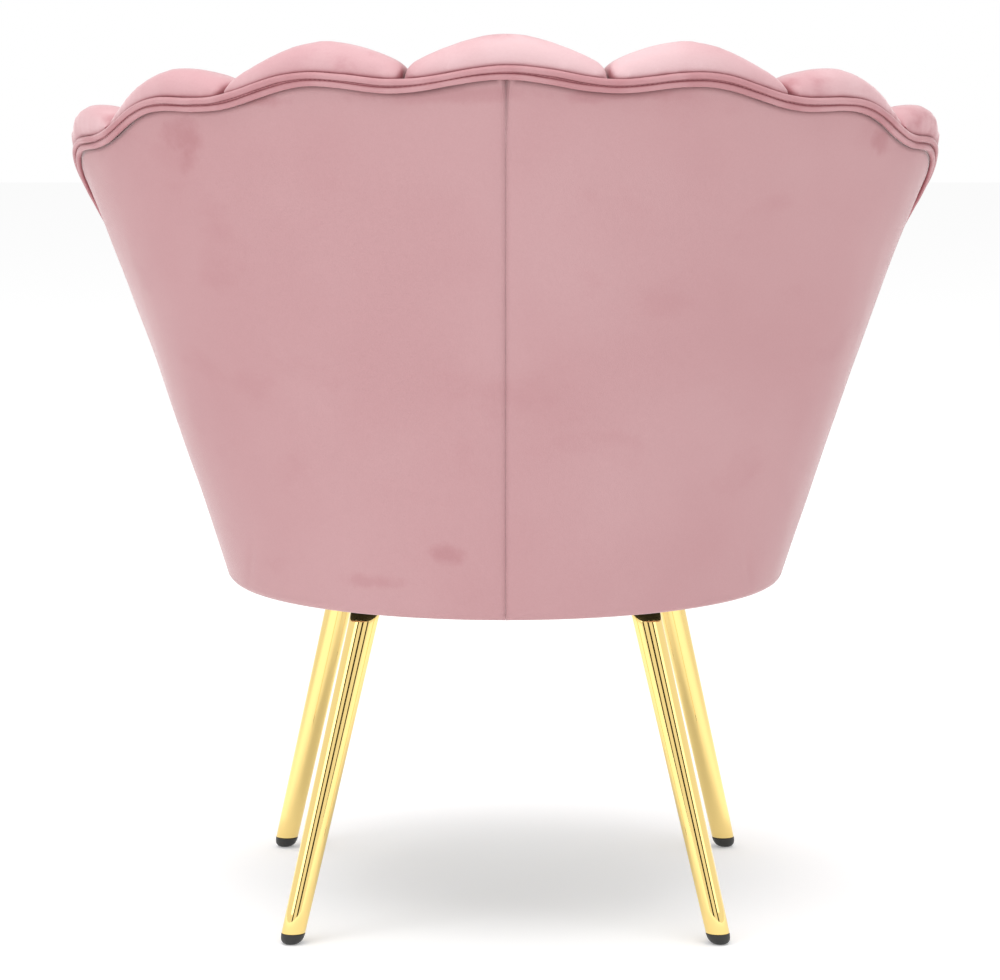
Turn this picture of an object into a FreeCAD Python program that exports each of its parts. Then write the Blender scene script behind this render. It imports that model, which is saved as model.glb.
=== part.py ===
import FreeCAD, Part
import math
import os

os.makedirs("parts", exist_ok=True)

V = FreeCAD.Vector

# Shell, in millimetres: an oval drum that flares up to a waved rim
SHELL_BOTTOM = 287.5        # floor to the fold under the shell
BASE_HALF_WIDTH = 243.0     # plan of the shell at that height
BASE_REAR = 241.0
BASE_FRONT = 290.0
RIM_HALF_WIDTH = 371.0      # plan of the rim
RIM_REAR = 329.0
RIM_HEIGHT = 742.0          # middle of the double welt, halfway up a wave
RIM_FALL = 97.4             # how far the rim drops from the back to the side
RIM_FALL_POWER = 1.12
RIM_WAVE = 5.0              # the rim rises by this in a channel, falls in a seam
TIP_START = 3.2             # where the rim starts to turn down at a wing
TIP_DROP = 28.0

# Channels fan out from the seat: a place along the wall is counted in channels,
# 0 in the middle of the back, 0.5 the first seam, 3.5 the front edge of a wing
CHANNELS = 7
WALL_END = CHANNELS / 2
PITCH_LOW = 35.7            # degrees of plan for one channel at the base
PITCH_RIM = 26.3            # and at the rim
RIM_CHANNEL_WIDTH = 165.0

# Front band under the seat, between the two wings
BAND_TOP = 375.0            # top of the seat frame
BAND_FRONT = 315.0          # its foremost point there
BAND_END = 1.0              # a place along the band runs from -1 to 1
BAND_HALF_WIDTH = 230.0     # from one end to its middle, about

# Layers of the wall, as depths inwards from its outer face
LAYER_GAP = 0.4
COVER = 2.0
CENTRE_SEAM_HALF_GAP = 0.0015   # between the two halves of the cover, counted in channels
WADDING_IN = COVER + LAYER_GAP
WADDING_OUT = 7.2
BOARD = 3.0
OUTER_BOARD_IN = WADDING_OUT + LAYER_GAP
OUTER_BOARD_OUT = OUTER_BOARD_IN + BOARD
RIB_IN = OUTER_BOARD_OUT + LAYER_GAP
RIB_OUT = RIB_IN + 21.0
INNER_BOARD_IN = RIB_OUT + LAYER_GAP
INNER_BOARD_OUT = INNER_BOARD_IN + BOARD
PAD_BACK = INNER_BOARD_OUT + 1.5 * LAYER_GAP
FRAME_END = 3.36            # the timber stops here, the padding rolls round it
FRAME_TOP = 7.0             # the timber stops this far under the welt's middle

# Padded channels
PAD_FULL = 50.0             # thickness in the middle of a channel
PAD_SEAM = 14.0             # and in the seam
PAD_CREST = 25.0            # rise over the welt, in the middle and in the seam
PAD_CREST_SEAM = 7.0
WING_CREST = 8.0            # the wings' channels rise this much more
PAD_BOTTOM = 380.0
PAD_BELLY = 545.0           # height where a channel is fullest
SEAM_HALF_GAP = 0.003       # between two channels, counted in channels
CREST_DEPTH = 0.45          # where the crest stands, as a share of the padding's face
NOSE_UP = 0.72              # middle of the arc from the welt up to the crest
NOSE_IN = 0.18
SHOULDER_DROP = 30.0        # the face starts this far under the welt
SHOULDER_DOWN = 0.27        # middle of the arc from the crest down to the face
SHOULDER_IN = 0.74
WAIST = 430.0               # height where the padding starts to thin towards the seat
WAIST_SHARE = 0.88
FOOT_SHARE = 0.6
LAP = 6.2                   # half the width of the double welt
LAP_STEEPEST = 2.4
PAD_FRONT = 2.7             # the padding keeps this far behind the welt's cords
ROLL_START = FRAME_END + 0.004
ROLL_END = 3.66             # the last channel rolls this far past the timber
ROLL_FALL = 14.0            # how much lower and thinner the roll gets on its way round
ROLL_CREST_FALL = 12.0
ROLL_LEAST_RISE = 3.0
ROLL_FACE_BACK = 8.0
ROLL_WAIST_BACK = 4.0
ROLL_EDGE_BACK = 12.0

# Seat
SEAT_LOW = 378.4            # its lower edge, on the webbing and the folded velvet
SEAT_CROWN = 443.0
SEAT_BACK = 67.5            # depth of its edge in front of the channels' feet
SEAT_BACK_LEAN = 0.28
SEAT_FRONT = 0.0
SEAT_NECK = [(3.57, 1.0), (3.74, -9.0), (3.81, -46.0)]   # places and extra depths past a wing
SEAT_SHOULDER = 0.83        # place on the band where the full width starts
SEWING = 1e-4
SEAT_CORNER = 6.0
CHANNEL_WIDTH = 160.0       # of one channel at the seat, about
SKIN = 1.8

# Timber base
PLY = 18.0
BASE_RING_LOW = SHELL_BOTTOM + COVER + LAYER_GAP
BASE_RING_TOP = BASE_RING_LOW + PLY
BASE_RING_WIDTH = 84.0
SEAT_RING_TOP = BAND_TOP
SEAT_RING_LOW = SEAT_RING_TOP - PLY
SEAT_RING_INNER = 80.0
SEAT_RING_FRONT_INNER = 68.0
HEM = 28.0                  # width of the cover folded under the base
FOLD = 6.0                  # radius of that fold

# Legs: plain tapered tubes, splayed
LEG_TOP_RADIUS = 12.5
LEG_END_RADIUS = 10.0
TUBE_WALL = 1.2
LEG_TOP = BASE_RING_LOW - LAYER_GAP
REAR_LEG = {"foot": (183.0, 191.0), "top": (117.2, 135.1)}
FRONT_LEG = {"foot": (206.5, -181.6), "top": (141.0, -165.0)}
CAP_HEIGHT = 9.5
CAP_SPIGOT = 14.0
PLUG_LENGTH = 38.0
CAP_PLAY = 0.1
CAP_DOME = 12.8             # radius of the cap's rounding, and the height of its middle
CAP_DOME_HEIGHT = 8.0
BLOCK = 60.0
BLOCK_HEIGHT = 20.0
STUD_RADIUS = 4.0
STUD_LOW = LEG_TOP - 21.0
STUD_TOP = BASE_RING_TOP + BLOCK_HEIGHT + 4.0
NUT_BARREL = 5.2
NUT_LENGTH = 12.0
NUT_FLANGE = 11.0
NUT_FLANGE_THICK = 1.5
HOLE_PLAY = 0.3

# Double welt
CORD_RADIUS = 2.8
CORD_SIDES = 14
CORD_APART = 6.2            # between the centres of the two cords
CORD_OUT = 1.0              # the cords' centres stand this far out from the wall
CORD_END = 4.0              # they end this far above the shell's lower edge
TIP_TURN = 12.0             # and run straight down from this far under the tip

# Slices and points in which curved work is drawn
FRAME_SLICES = 43
COVER_SLICES = 29
BAND_SLICES = 25
PLAN_POINTS_BACK = 15
PLAN_POINTS_FRONT = 9


def spread(first, last, count):
    """Evenly spaced values, ends included."""
    return [first + (last - first) * i / (count - 1) for i in range(count)]


def rim_line(place):
    """Height of the rim without its waves."""
    turn = math.radians(place * PITCH_RIM)
    return RIM_HEIGHT - RIM_FALL * (1 - math.cos(turn)) ** RIM_FALL_POWER


def rim(place):
    """Height of the middle of the double welt: waves, then a rounded tip."""
    wave = RIM_WAVE * math.cos(2 * math.pi * place)
    past = max(0.0, abs(place) - TIP_START) / (WALL_END - TIP_START)
    drop = TIP_DROP * (1 - math.sqrt(max(0.0, 1 - min(past, 0.97) ** 2)))
    return rim_line(place) + wave - drop


def lap(place):
    """Half the welt's height, which grows where the rim slopes."""
    step = 0.01
    rise = (rim(place + step) - rim(place - step)) / (2 * step * RIM_CHANNEL_WIDTH)
    return LAP * min(math.sqrt(1 + rise ** 2), LAP_STEEPEST)


def wall_slice(place):
    """Upright slice of the wall: its foot, its climb per mm of height, and inwards."""
    low = math.radians(place * PITCH_LOW)
    high = math.radians(place * PITCH_RIM)
    reach = BASE_REAR if math.cos(low) > 0 else BASE_FRONT
    foot = V(BASE_HALF_WIDTH * math.sin(low), reach * math.cos(low), SHELL_BOTTOM)
    head = V(RIM_HALF_WIDTH * math.sin(high), RIM_REAR * math.cos(high), rim_line(place))
    facing = (low + high) / 2
    inwards = V(-math.sin(facing), -math.cos(facing), 0)
    return foot, (head - foot) / (head.z - foot.z), inwards


def point(at, height, depth):
    """Point of a slice at a height and at a depth inwards from the outer face."""
    foot, climb, inwards = at
    return foot + climb * (height - SHELL_BOTTOM) + inwards * depth


WING = wall_slice(WALL_END)
WING_FACING = WALL_END * (PITCH_LOW + PITCH_RIM) / 2


def band_slice(place):
    """Upright slice of the front band, which starts and ends on the wings' front edges."""
    low = math.radians(180 - place * (180 - WALL_END * PITCH_LOW))
    turn = math.radians(180 - place * 90)
    facing = math.radians(180 - place * (180 - WING_FACING))
    wing = point(WING, BAND_TOP, 0)
    foot = V(BASE_HALF_WIDTH * math.sin(low), BASE_FRONT * math.cos(low), SHELL_BOTTOM)
    head = V(wing.x * math.sin(turn), wing.y + (wing.y + BAND_FRONT) * math.cos(turn), BAND_TOP)
    inwards = V(-math.sin(facing), -math.cos(facing), 0)
    return foot, (head - foot) / (head.z - foot.z), inwards


def outline(at, path):
    """Closed wire in one slice. A third entry in a step marks the middle of an arc."""
    spots = [point(at, step[0], step[1]) for step in path]
    edges = []
    i = 0
    while i < len(path):
        after = (i + 1) % len(path)
        if len(path[after]) == 3:
            end = (i + 2) % len(path)
            edges.append(Part.Arc(spots[i], spots[after], spots[end]).toShape())
            i += 2
        else:
            edges.append(Part.LineSegment(spots[i], spots[after]).toShape())
            i += 1
    return Part.Wire(edges)


def loft(wires):
    """Solid through a row of wires by straight rulings, always with a positive volume."""
    solid = Part.makeLoft(wires, True, True)
    if solid.Volume < 0:
        solid.reverse()
    return solid


def wall_layer(places, depth_out, depth_in, low, high):
    """Board or sheet of the wall: depths, a flat lower edge and an upper edge that follows high()."""
    wires = []
    for place in places:
        top = high(place)
        path = [(low, depth_out), (top, depth_out), (top, depth_in), (low, depth_in)]
        wires.append(outline(wall_slice(place), path))
    return loft(wires)


def frame_top(place):
    return rim(place) - FRAME_TOP


def spline(points):
    curve = Part.BSplineCurve()
    curve.interpolate(points)
    return curve.toShape()


def plan_wire(height, back_depth, front_depth, back_end=WALL_END, front_end=BAND_END):
    """Closed level outline: round the back and wings, then round the front."""
    back = [point(wall_slice(p), height, back_depth) for p in spread(-back_end, back_end, PLAN_POINTS_BACK)]
    front = [point(band_slice(p), height, front_depth) for p in spread(front_end, -front_end, PLAN_POINTS_FRONT)]
    edges = [spline(back)]
    if (back[-1] - front[0]).Length > 0.01:
        edges.append(Part.LineSegment(back[-1], front[0]).toShape())
    edges.append(spline(front))
    if (back[0] - front[-1]).Length > 0.01:
        edges.append(Part.LineSegment(front[-1], back[0]).toShape())
    return Part.Wire(edges)


def slab(low, high, back_depth, front_depth, back_end=WALL_END, front_end=BAND_END):
    """Level board whose edge follows the flare of the shell."""
    ends = (back_depth, front_depth, back_end, front_end)
    return loft([plan_wire(low, *ends), plan_wire(high, *ends)])


def mirrored(shape):
    return shape.mirror(V(0, 0, 0), V(1, 0, 0))


def save(name, shape):
    shape.exportStep("parts/%s.step" % name)
    print("%-26s solids %2d  volume %9.0f  valid %s" % (name, len(shape.Solids), shape.Volume, shape.isValid()))


# Legs, one function for all four
def leg_point(leg, height):
    """Middle of a leg at a height."""
    foot = V(*leg["foot"], 0)
    return foot + (V(*leg["top"], LEG_TOP) - foot) * (height / LEG_TOP)


def taper(leg, low, high, inset):
    """Piece of the leg's cone between two heights, cut level at both ends, thinner by inset."""
    foot = leg_point(leg, 0)
    leg_length = (leg_point(leg, LEG_TOP) - foot).Length
    along = (leg_point(leg, LEG_TOP) - foot).normalize()
    past_cut = LEG_TOP_RADIUS / 2
    start = low * leg_length / LEG_TOP - past_cut
    end = high * leg_length / LEG_TOP + past_cut

    def radius(distance):
        return LEG_END_RADIUS + (LEG_TOP_RADIUS - LEG_END_RADIUS) * distance / leg_length - inset

    cone = Part.makeCone(radius(start), radius(end), end - start, foot + along * start, along)
    half = RIM_HALF_WIDTH
    return cone.common(Part.makeBox(2 * half, 2 * half, high - low, V(-half, -half, low)))


def leg_tube(leg):
    bore = taper(leg, CAP_HEIGHT - 1, LEG_TOP + 1, TUBE_WALL)
    return taper(leg, CAP_HEIGHT, LEG_TOP, 0).cut(bore)


def stud_hole(leg, radius):
    middle = V(*leg["top"], STUD_LOW - 2)
    return Part.makeCylinder(radius, STUD_TOP + 2 - middle.z, middle)


def leg_plug(leg):
    body = taper(leg, LEG_TOP - PLUG_LENGTH, LEG_TOP, TUBE_WALL + HOLE_PLAY / 2)
    return body.cut(stud_hole(leg, STUD_RADIUS + HOLE_PLAY))


def foot_cap(leg):
    """Domed stub under the tube with a spigot up inside it, flat on the floor."""
    ball = Part.makeSphere(CAP_DOME, leg_point(leg, CAP_DOME_HEIGHT))
    stub = taper(leg, 0, CAP_HEIGHT - CAP_PLAY, 0).common(ball)
    spigot = taper(leg, CAP_HEIGHT - 1, CAP_HEIGHT + CAP_SPIGOT, TUBE_WALL + HOLE_PLAY / 2)
    return stub.fuse(spigot).removeSplitter()


LEGS = {
    "rear_left": (REAR_LEG, False),
    "rear_right": (REAR_LEG, True),
    "front_left": (FRONT_LEG, False),
    "front_right": (FRONT_LEG, True),
}


def leg_block(leg):
    """Hardwood pad on the base ring that spreads the leg's load and holds its nut."""
    top = leg["top"]
    corner = V(top[0] - BLOCK / 2, top[1] - BLOCK / 2, BASE_RING_TOP)
    block = Part.makeBox(BLOCK, BLOCK, BLOCK_HEIGHT, corner)
    return block.cut(stud_hole(leg, NUT_BARREL + HOLE_PLAY))


def leg_stud(leg):
    top = leg["top"]
    return Part.makeCylinder(STUD_RADIUS, STUD_TOP - STUD_LOW, V(top[0], top[1], STUD_LOW))


def tee_nut(leg):
    """Flange on the block's top with a barrel down inside it."""
    top = leg["top"]
    seat = BASE_RING_TOP + BLOCK_HEIGHT
    flange = Part.makeCylinder(NUT_FLANGE, NUT_FLANGE_THICK, V(top[0], top[1], seat))
    barrel = Part.makeCylinder(NUT_BARREL, NUT_LENGTH, V(top[0], top[1], seat - NUT_LENGTH))
    return flange.fuse(barrel).removeSplitter().cut(stud_hole(leg, STUD_RADIUS + HOLE_PLAY / 2))


def both_sides(make, leg, flipped):
    return mirrored(make(leg)) if flipped else make(leg)


for side, (leg, flipped) in LEGS.items():
    save("leg_tube_" + side, both_sides(leg_tube, leg, flipped))
    save("leg_plug_" + side, both_sides(leg_plug, leg, flipped))
    save("foot_cap_" + side, both_sides(foot_cap, leg, flipped))
    save("leg_block_" + side, both_sides(leg_block, leg, flipped))
save("leg_studs", Part.makeCompound([both_sides(leg_stud, leg, f) for leg, f in LEGS.values()]))
save("tee_nuts", Part.makeCompound([both_sides(tee_nut, leg, f) for leg, f in LEGS.values()]))

# Upright ribs of the back and posts of the front, screwed on from under the base ring
RIB_THICK = 18.0
RIB_PLACES = [-3.27, -2.5, -1.5, -0.5, 0.5, 1.5, 2.5, 3.27]
POST_PLACES = [-0.45, 0.0, 0.45]
POST_DEPTH = 50.0
SCREW_RADIUS = 2.0
SCREW_HEAD = 4.2
SCREW_HEAD_HEIGHT = 3.4
SCREW_LENGTH = 45.0


def rib(place):
    """Rib between the base ring and the hoop, shaped to the boards on both its sides."""
    half = RIB_THICK / 2 / CHANNEL_WIDTH

    def top(at):
        return rim(at) - FRAME_TOP - PLY - LAYER_GAP

    return wall_layer([place - half, place, place + half], RIB_IN, RIB_OUT, BASE_RING_TOP, top)


def front_post(place):
    half = RIB_THICK / 2 / BAND_HALF_WIDTH
    path = [(BASE_RING_TOP, RIB_IN), (SEAT_RING_LOW, RIB_IN),
            (SEAT_RING_LOW, POST_DEPTH), (BASE_RING_TOP, POST_DEPTH)]
    return loft([outline(band_slice(p), path) for p in (place - half, place, place + half)])


def screw(at, depth, play=0.0):
    """Countersunk wood screw up through the base ring."""
    spot = point(at, BASE_RING_LOW, depth)
    head = Part.makeCone(SCREW_HEAD + play, SCREW_RADIUS + play, SCREW_HEAD_HEIGHT, spot)
    shank = Part.makeCylinder(SCREW_RADIUS + play, SCREW_LENGTH + play, spot)
    return head.fuse(shank).removeSplitter()


SCREW_SPOTS = [(wall_slice(p), (RIB_IN + RIB_OUT) / 2) for p in RIB_PLACES]
SCREW_SPOTS += [(band_slice(p), (RIB_IN + POST_DEPTH) / 2) for p in POST_PLACES]
screw_holes = Part.makeCompound([screw(at, depth, HOLE_PLAY) for at, depth in SCREW_SPOTS])
save("base_screws", Part.makeCompound([screw(at, depth) for at, depth in SCREW_SPOTS]))

for number, place in enumerate(RIB_PLACES):
    save("back_rib_%d" % (number + 1), rib(place).cut(screw_holes))
for number, place in enumerate(POST_PLACES):
    save("front_post_%d" % (number + 1), front_post(place).cut(screw_holes))

# Two level rings of plywood: the base ring takes the legs, the seat ring the webbing
base_ring = slab(BASE_RING_LOW, BASE_RING_TOP, RIB_IN, RIB_IN)
base_ring = base_ring.cut(slab(BASE_RING_LOW - 1, BASE_RING_TOP + 1, RIB_IN + BASE_RING_WIDTH,
                               RIB_IN + BASE_RING_WIDTH))
base_ring = base_ring.cut(screw_holes)
for leg, flipped in LEGS.values():
    hole = stud_hole(leg, STUD_RADIUS + HOLE_PLAY)
    base_ring = base_ring.cut(mirrored(hole) if flipped else hole)
save("base_ring", base_ring)

seat_ring = slab(SEAT_RING_LOW, SEAT_RING_TOP, RIB_OUT + LAYER_GAP, RIB_IN, back_end=3.42, front_end=0.97)
seat_ring = seat_ring.cut(slab(SEAT_RING_LOW - 1, SEAT_RING_TOP + 1, SEAT_RING_INNER, SEAT_RING_FRONT_INNER,
                               back_end=3.3, front_end=0.9))
save("seat_ring", seat_ring)

# Bent hoop under the rim, and the two boards that skin the frame
FRAME_PLACES = spread(-FRAME_END, FRAME_END, FRAME_SLICES)
hoop = []
for place in FRAME_PLACES:
    top = frame_top(place)
    path = [(top - PLY, RIB_IN), (top, RIB_IN), (top, RIB_OUT), (top - PLY, RIB_OUT)]
    hoop.append(outline(wall_slice(place), path))
save("rim_hoop", loft(hoop))

save("outer_board", wall_layer(FRAME_PLACES, OUTER_BOARD_IN, OUTER_BOARD_OUT, BASE_RING_LOW, frame_top))
save("inner_board", wall_layer(FRAME_PLACES, INNER_BOARD_IN, INNER_BOARD_OUT,
                               SEAT_RING_TOP + LAYER_GAP, frame_top))
save("back_wadding", wall_layer(FRAME_PLACES, WADDING_IN, WADDING_OUT,
                                SHELL_BOTTOM + FOLD + LAYER_GAP, frame_top))


# Front band: board, wadding and velvet
FRONT_BOARD_END = 0.93


def band_layer(depth_out, depth_in, low, high):
    path = [(low, depth_out), (high, depth_out), (high, depth_in), (low, depth_in)]
    places = spread(-FRONT_BOARD_END, FRONT_BOARD_END, BAND_SLICES)
    return loft([outline(band_slice(p), path) for p in places])


save("front_board", band_layer(OUTER_BOARD_IN, OUTER_BOARD_OUT, BASE_RING_LOW, SEAT_RING_TOP))
save("front_wadding", band_layer(WADDING_IN, WADDING_OUT, SHELL_BOTTOM + FOLD + LAYER_GAP, SEAT_RING_TOP))

FOLD_MIDDLE = FOLD * (1 - math.sqrt(0.5))
INNER_FOLD_MIDDLE = COVER + (FOLD - COVER) * (1 - math.sqrt(0.5))


def hem_path():
    """Velvet folded in under the base, from its outer face round to its inner face."""
    low = SHELL_BOTTOM
    return [(low + FOLD, 0), (low + FOLD_MIDDLE, FOLD_MIDDLE, "arc"), (low, FOLD), (low, HEM),
            (low + COVER, HEM), (low + COVER, FOLD),
            (low + INNER_FOLD_MIDDLE, INNER_FOLD_MIDDLE, "arc"), (low + FOLD, COVER)]


def outer_cover():
    """Sitter's left half of the outside back, from the centre seam to the wing's front edge."""
    wires = []
    end = WALL_END - (LAP + COVER) / CHANNEL_WIDTH
    for place in spread(CENTRE_SEAM_HALF_GAP, end, COVER_SLICES):
        top = rim(place) - lap(place)
        path = hem_path() + [(top, COVER), (top, 0)]
        wires.append(outline(wall_slice(place), path))
    return loft(wires)


def band_cover():
    """Velvet of the front band, folded over the seat frame as well."""
    top = BAND_TOP + LAYER_GAP
    end = BAND_END - LAP / BAND_HALF_WIDTH
    path = hem_path() + [(top, COVER), (top, HEM), (top + COVER, HEM), (top + COVER, 0)]
    return loft([outline(band_slice(p), path) for p in spread(-end, end, BAND_SLICES)])


left_cover = outer_cover()
save("outer_cover_left", left_cover)
save("outer_cover_right", mirrored(left_cover))
save("front_band_cover", band_cover())


# Padded channels
def crown(place):
    """How full the padding is: 1 in the middle of a channel, 0 in a seam."""
    number = min(round(abs(place)), (CHANNELS - 1) // 2)
    off = abs(place) - number
    reach = 0.72 if number == (CHANNELS - 1) // 2 and off > 0 else 0.5
    return math.sqrt(max(0.0, 1 - (off / reach) ** 2))


def crest_rise(place):
    """How far the crest stands over the welt."""
    wing = WING_CREST * min(1.0, 2 * max(0.0, abs(place) - (CHANNELS - 2) / 2))
    return PAD_CREST_SEAM + (PAD_CREST - PAD_CREST_SEAM + wing) * crown(place)


def padded_face(top, lip, edge, crest, thick, past):
    """Padded side of a slice: from the welt over the crest and down the belly to the seat."""
    face = PAD_BACK + thick - ROLL_FACE_BACK * past ** 2
    middle = CREST_DEPTH * face
    shoulder = top - SHOULDER_DROP
    low_back = ROLL_WAIST_BACK * past
    return [(lip + NOSE_UP * (crest - lip), edge + NOSE_IN * (middle - edge), "arc"),
            (crest, middle),
            (crest - SHOULDER_DOWN * (crest - shoulder), middle + SHOULDER_IN * (face - middle), "arc"),
            (shoulder, face - 1),
            (PAD_BELLY, face + 1, "arc"),
            (WAIST, PAD_BACK + WAIST_SHARE * thick - low_back),
            (PAD_BOTTOM, PAD_BACK + FOOT_SHARE * thick - low_back)]


def pad_slice(place):
    """Slice of a channel: padded face, flat back, and a lip out to the welt over the timber."""
    full = crown(place)
    top = rim(place)
    lip = top + lap(place)
    thick = PAD_SEAM + (PAD_FULL - PAD_SEAM) * full
    crest = top + LAP + crest_rise(place)
    path = [(lip, PAD_FRONT), (lip, -CORD_OUT)] + padded_face(top, lip, 0, crest, thick, 0)
    path += [(PAD_BOTTOM, PAD_BACK), (top - LAP, PAD_BACK), (top - LAP, PAD_FRONT)]
    return outline(wall_slice(place), path)


def roll_slice(place):
    """Slice through the roll of a wing, where the padding is as deep as the whole wall."""
    past = (place - ROLL_START) / (ROLL_END - ROLL_START)
    round_front = max(0.0, place - WALL_END) / (ROLL_END - WALL_END)
    full = crown(place)
    inside = min(place, WALL_END)
    top = rim(inside) - ROLL_FALL * past ** 2
    lip = top + lap(inside)
    thick = PAD_SEAM + (PAD_FULL - PAD_SEAM) * full
    crest = top + LAP + crest_rise(place) - ROLL_CREST_FALL * past
    edge = PAD_FRONT + LAYER_GAP + ROLL_EDGE_BACK * round_front ** 2
    path = [(lip, edge)] + padded_face(top, lip, edge, max(crest, lip + ROLL_LEAST_RISE), thick, past)
    return outline(wall_slice(place), path + [(PAD_BOTTOM, edge)])


# Places across a channel where it is drawn, closer together towards the seams
HALF_ACROSS = [0.5 - SEAM_HALF_GAP, 0.46, 0.39, 0.29, 0.15]
ACROSS = [-off for off in HALF_ACROSS] + [0] + HALF_ACROSS[::-1]
WING_ACROSS = [-off for off in HALF_ACROSS] + [0, 0.13, 0.2, 0.24, 0.28, 0.32]
ROLL_PLACES = [3.39, 3.42, 3.45, 3.48, WALL_END, 3.55, 3.6, ROLL_END]


def channel(number):
    return loft([pad_slice(number + off) for off in ACROSS])


def last_channel():
    """Outermost channel of the sitter's left wing: it also rolls round the front of the timber."""
    number = (CHANNELS - 1) // 2
    main = loft([pad_slice(place) for place in [number + off for off in WING_ACROSS] + [ROLL_START]])
    roll = loft([roll_slice(place) for place in [ROLL_START] + ROLL_PLACES])
    return main.fuse(roll).removeSplitter()


save("channel_pad_centre", channel(0))
for number, name in [(1, "inner"), (2, "middle")]:
    pad = channel(number)
    save("channel_pad_left_" + name, pad)
    save("channel_pad_right_" + name, mirrored(pad))
wing_pad = last_channel()
save("channel_pad_left_outer", wing_pad)
save("channel_pad_right_outer", mirrored(wing_pad))

# Webbing: four straps across, four lengthwise over them
STRAP = 50.0
STRAP_THICK = 1.5
STRAP_END = 40.0
STRAPS_ACROSS = [-165, -85, -5, 75]
STRAPS_LENGTHWISE = [-112, -38, 38, 112]


def straps(level, along_x, middles):
    """Straps cut off where the seat ring carries their ends."""
    field = slab(level, level + STRAP_THICK, STRAP_END, STRAP_END)
    made = []
    for middle in middles:
        if along_x:
            box = Part.makeBox(800, STRAP, STRAP_THICK, V(-400, middle - STRAP / 2, level))
        else:
            box = Part.makeBox(STRAP, 800, STRAP_THICK, V(middle - STRAP / 2, -400, level))
        made += box.common(field).Solids
    return Part.makeCompound(made)


save("webbing_across", straps(SEAT_RING_TOP, True, STRAPS_ACROSS))
save("webbing_lengthwise", straps(SEAT_RING_TOP + STRAP_THICK, False, STRAPS_LENGTHWISE))

# Seat: foam and a velvet cover. A level is a height, how far the side draws in there,
# and how much of the full outline is left as the top closes over
SEAT_LEVELS = [(SEAT_LOW, 4, 1), (387, 1, 1), (399, -2, 1), (414, -2, 1), (424, 1, 1), (430, 5, 1),
               (434.5, 5, 0.97), (438, 5, 0.91), (440.5, 5, 0.80), (442, 5, 0.60), (SEAT_CROWN, 5, 0.30)]
SEAT_MIDDLE = V(0, -80, 0)


def seat_wire(height, side, part_left, inset):
    """Level outline of the seat: narrow between the wings, full width ahead of them."""
    back_depth = SEAT_BACK + SEAT_BACK_LEAN * (height - PAD_BOTTOM) + max(side, 0) + inset
    ahead = inset / CHANNEL_WIDTH
    end = SEAT_SHOULDER - ahead
    back = [point(wall_slice(p), height, back_depth) for p in spread(-3.3, 3.3, PLAN_POINTS_BACK)]
    left = [point(wall_slice(p + ahead), height, back_depth + more) for p, more in SEAT_NECK]
    right = [V(-p.x, p.y, p.z) for p in reversed(left)]
    front = []
    for p in spread(end, -end, PLAN_POINTS_FRONT + 2):
        corner = SEAT_CORNER * (abs(p) / end) ** 12
        front.append(point(band_slice(p), height, SEAT_FRONT + side + inset + corner))
    middle = SEAT_MIDDLE + V(0, 0, height)
    curve = Part.BSplineCurve()
    curve.interpolate([middle + (p - middle) * part_left for p in back + left + front + right], True)
    return Part.Wire([curve.toShape()])


def seat_body(inset):
    """Seat form drawn in evenly on its sides and its top."""
    wires = []
    for height, side, part_left in SEAT_LEVELS:
        lowered = inset * math.sqrt(1 - part_left)
        wires.append(seat_wire(height - lowered, side, part_left, inset))
    return loft(wires)


def seat_skin():
    """Velvet bag over the foam, open underneath: two nested forms joined by their lower edges."""
    forms = [seat_body(0), seat_body(SKIN)]
    faces = [face for form in forms for face in form.Faces if face.BoundBox.ZMax > SEAT_LOW + 0.1]
    lips = [Part.Face(seat_wire(*SEAT_LEVELS[0], inset)) for inset in (0, SKIN)]
    shell = Part.Shell(faces + lips[0].cut(lips[1]).Faces)
    shell.sewShape()
    solid = Part.Solid(shell)
    solid.fix(SEWING, SEWING, 10 * SEWING)
    return solid


save("seat_foam", seat_body(SKIN + LAYER_GAP))
save("seat_cover", seat_skin())


# Double welt: two cords side by side along the rim and down the wings' front edges
def rim_track():
    """Places and heights along the edge of the wall, from the foot of one wing to the other's."""
    side = [(p, rim(p)) for p in spread(0, TIP_START, 20)]
    for angle in spread(10, 80, 8):
        place = TIP_START + (WALL_END - TIP_START) * math.sin(math.radians(angle))
        side.append((place, rim(place)))
    side += [(WALL_END, h) for h in spread(rim(WALL_END) - TIP_TURN, SHELL_BOTTOM + CORD_END, 8)]
    return [(-p, h) for p, h in reversed(side[1:])] + side


def wall_normal(place, height):
    """Outward normal of the shell's outer face."""
    step = 0.01
    ahead = point(wall_slice(place + step), height, 0)
    behind = point(wall_slice(place - step), height, 0)
    return wall_slice(place)[1].cross(ahead - behind).normalize()


def cord_ring(middle, aside, outwards):
    """Section of a cord, round in short sides."""
    turns = [2 * math.pi * side / CORD_SIDES for side in range(CORD_SIDES)]
    spots = [middle + aside * math.cos(t) + outwards * math.sin(t) for t in turns]
    return Part.makePolygon(spots + spots[:1])


def cord(shift):
    """One cord, set off sideways from the middle of the double welt."""
    track = rim_track()
    spots = [point(wall_slice(p), h, 0) + wall_normal(p, h) * CORD_OUT for p, h in track]
    rings = []
    for i, spot in enumerate(spots):
        before = spots[max(i - 1, 0)]
        after = spots[min(i + 1, len(spots) - 1)]
        aside = (after - before).cross(wall_normal(*track[i])).normalize()
        outwards = aside.cross(after - before).normalize()
        rings.append(cord_ring(spot + aside * shift, aside * CORD_RADIUS, outwards * CORD_RADIUS))
    return loft(rings)


save("welt_cord_upper", cord(CORD_APART / 2))
save("welt_cord_lower", cord(-CORD_APART / 2))

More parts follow.
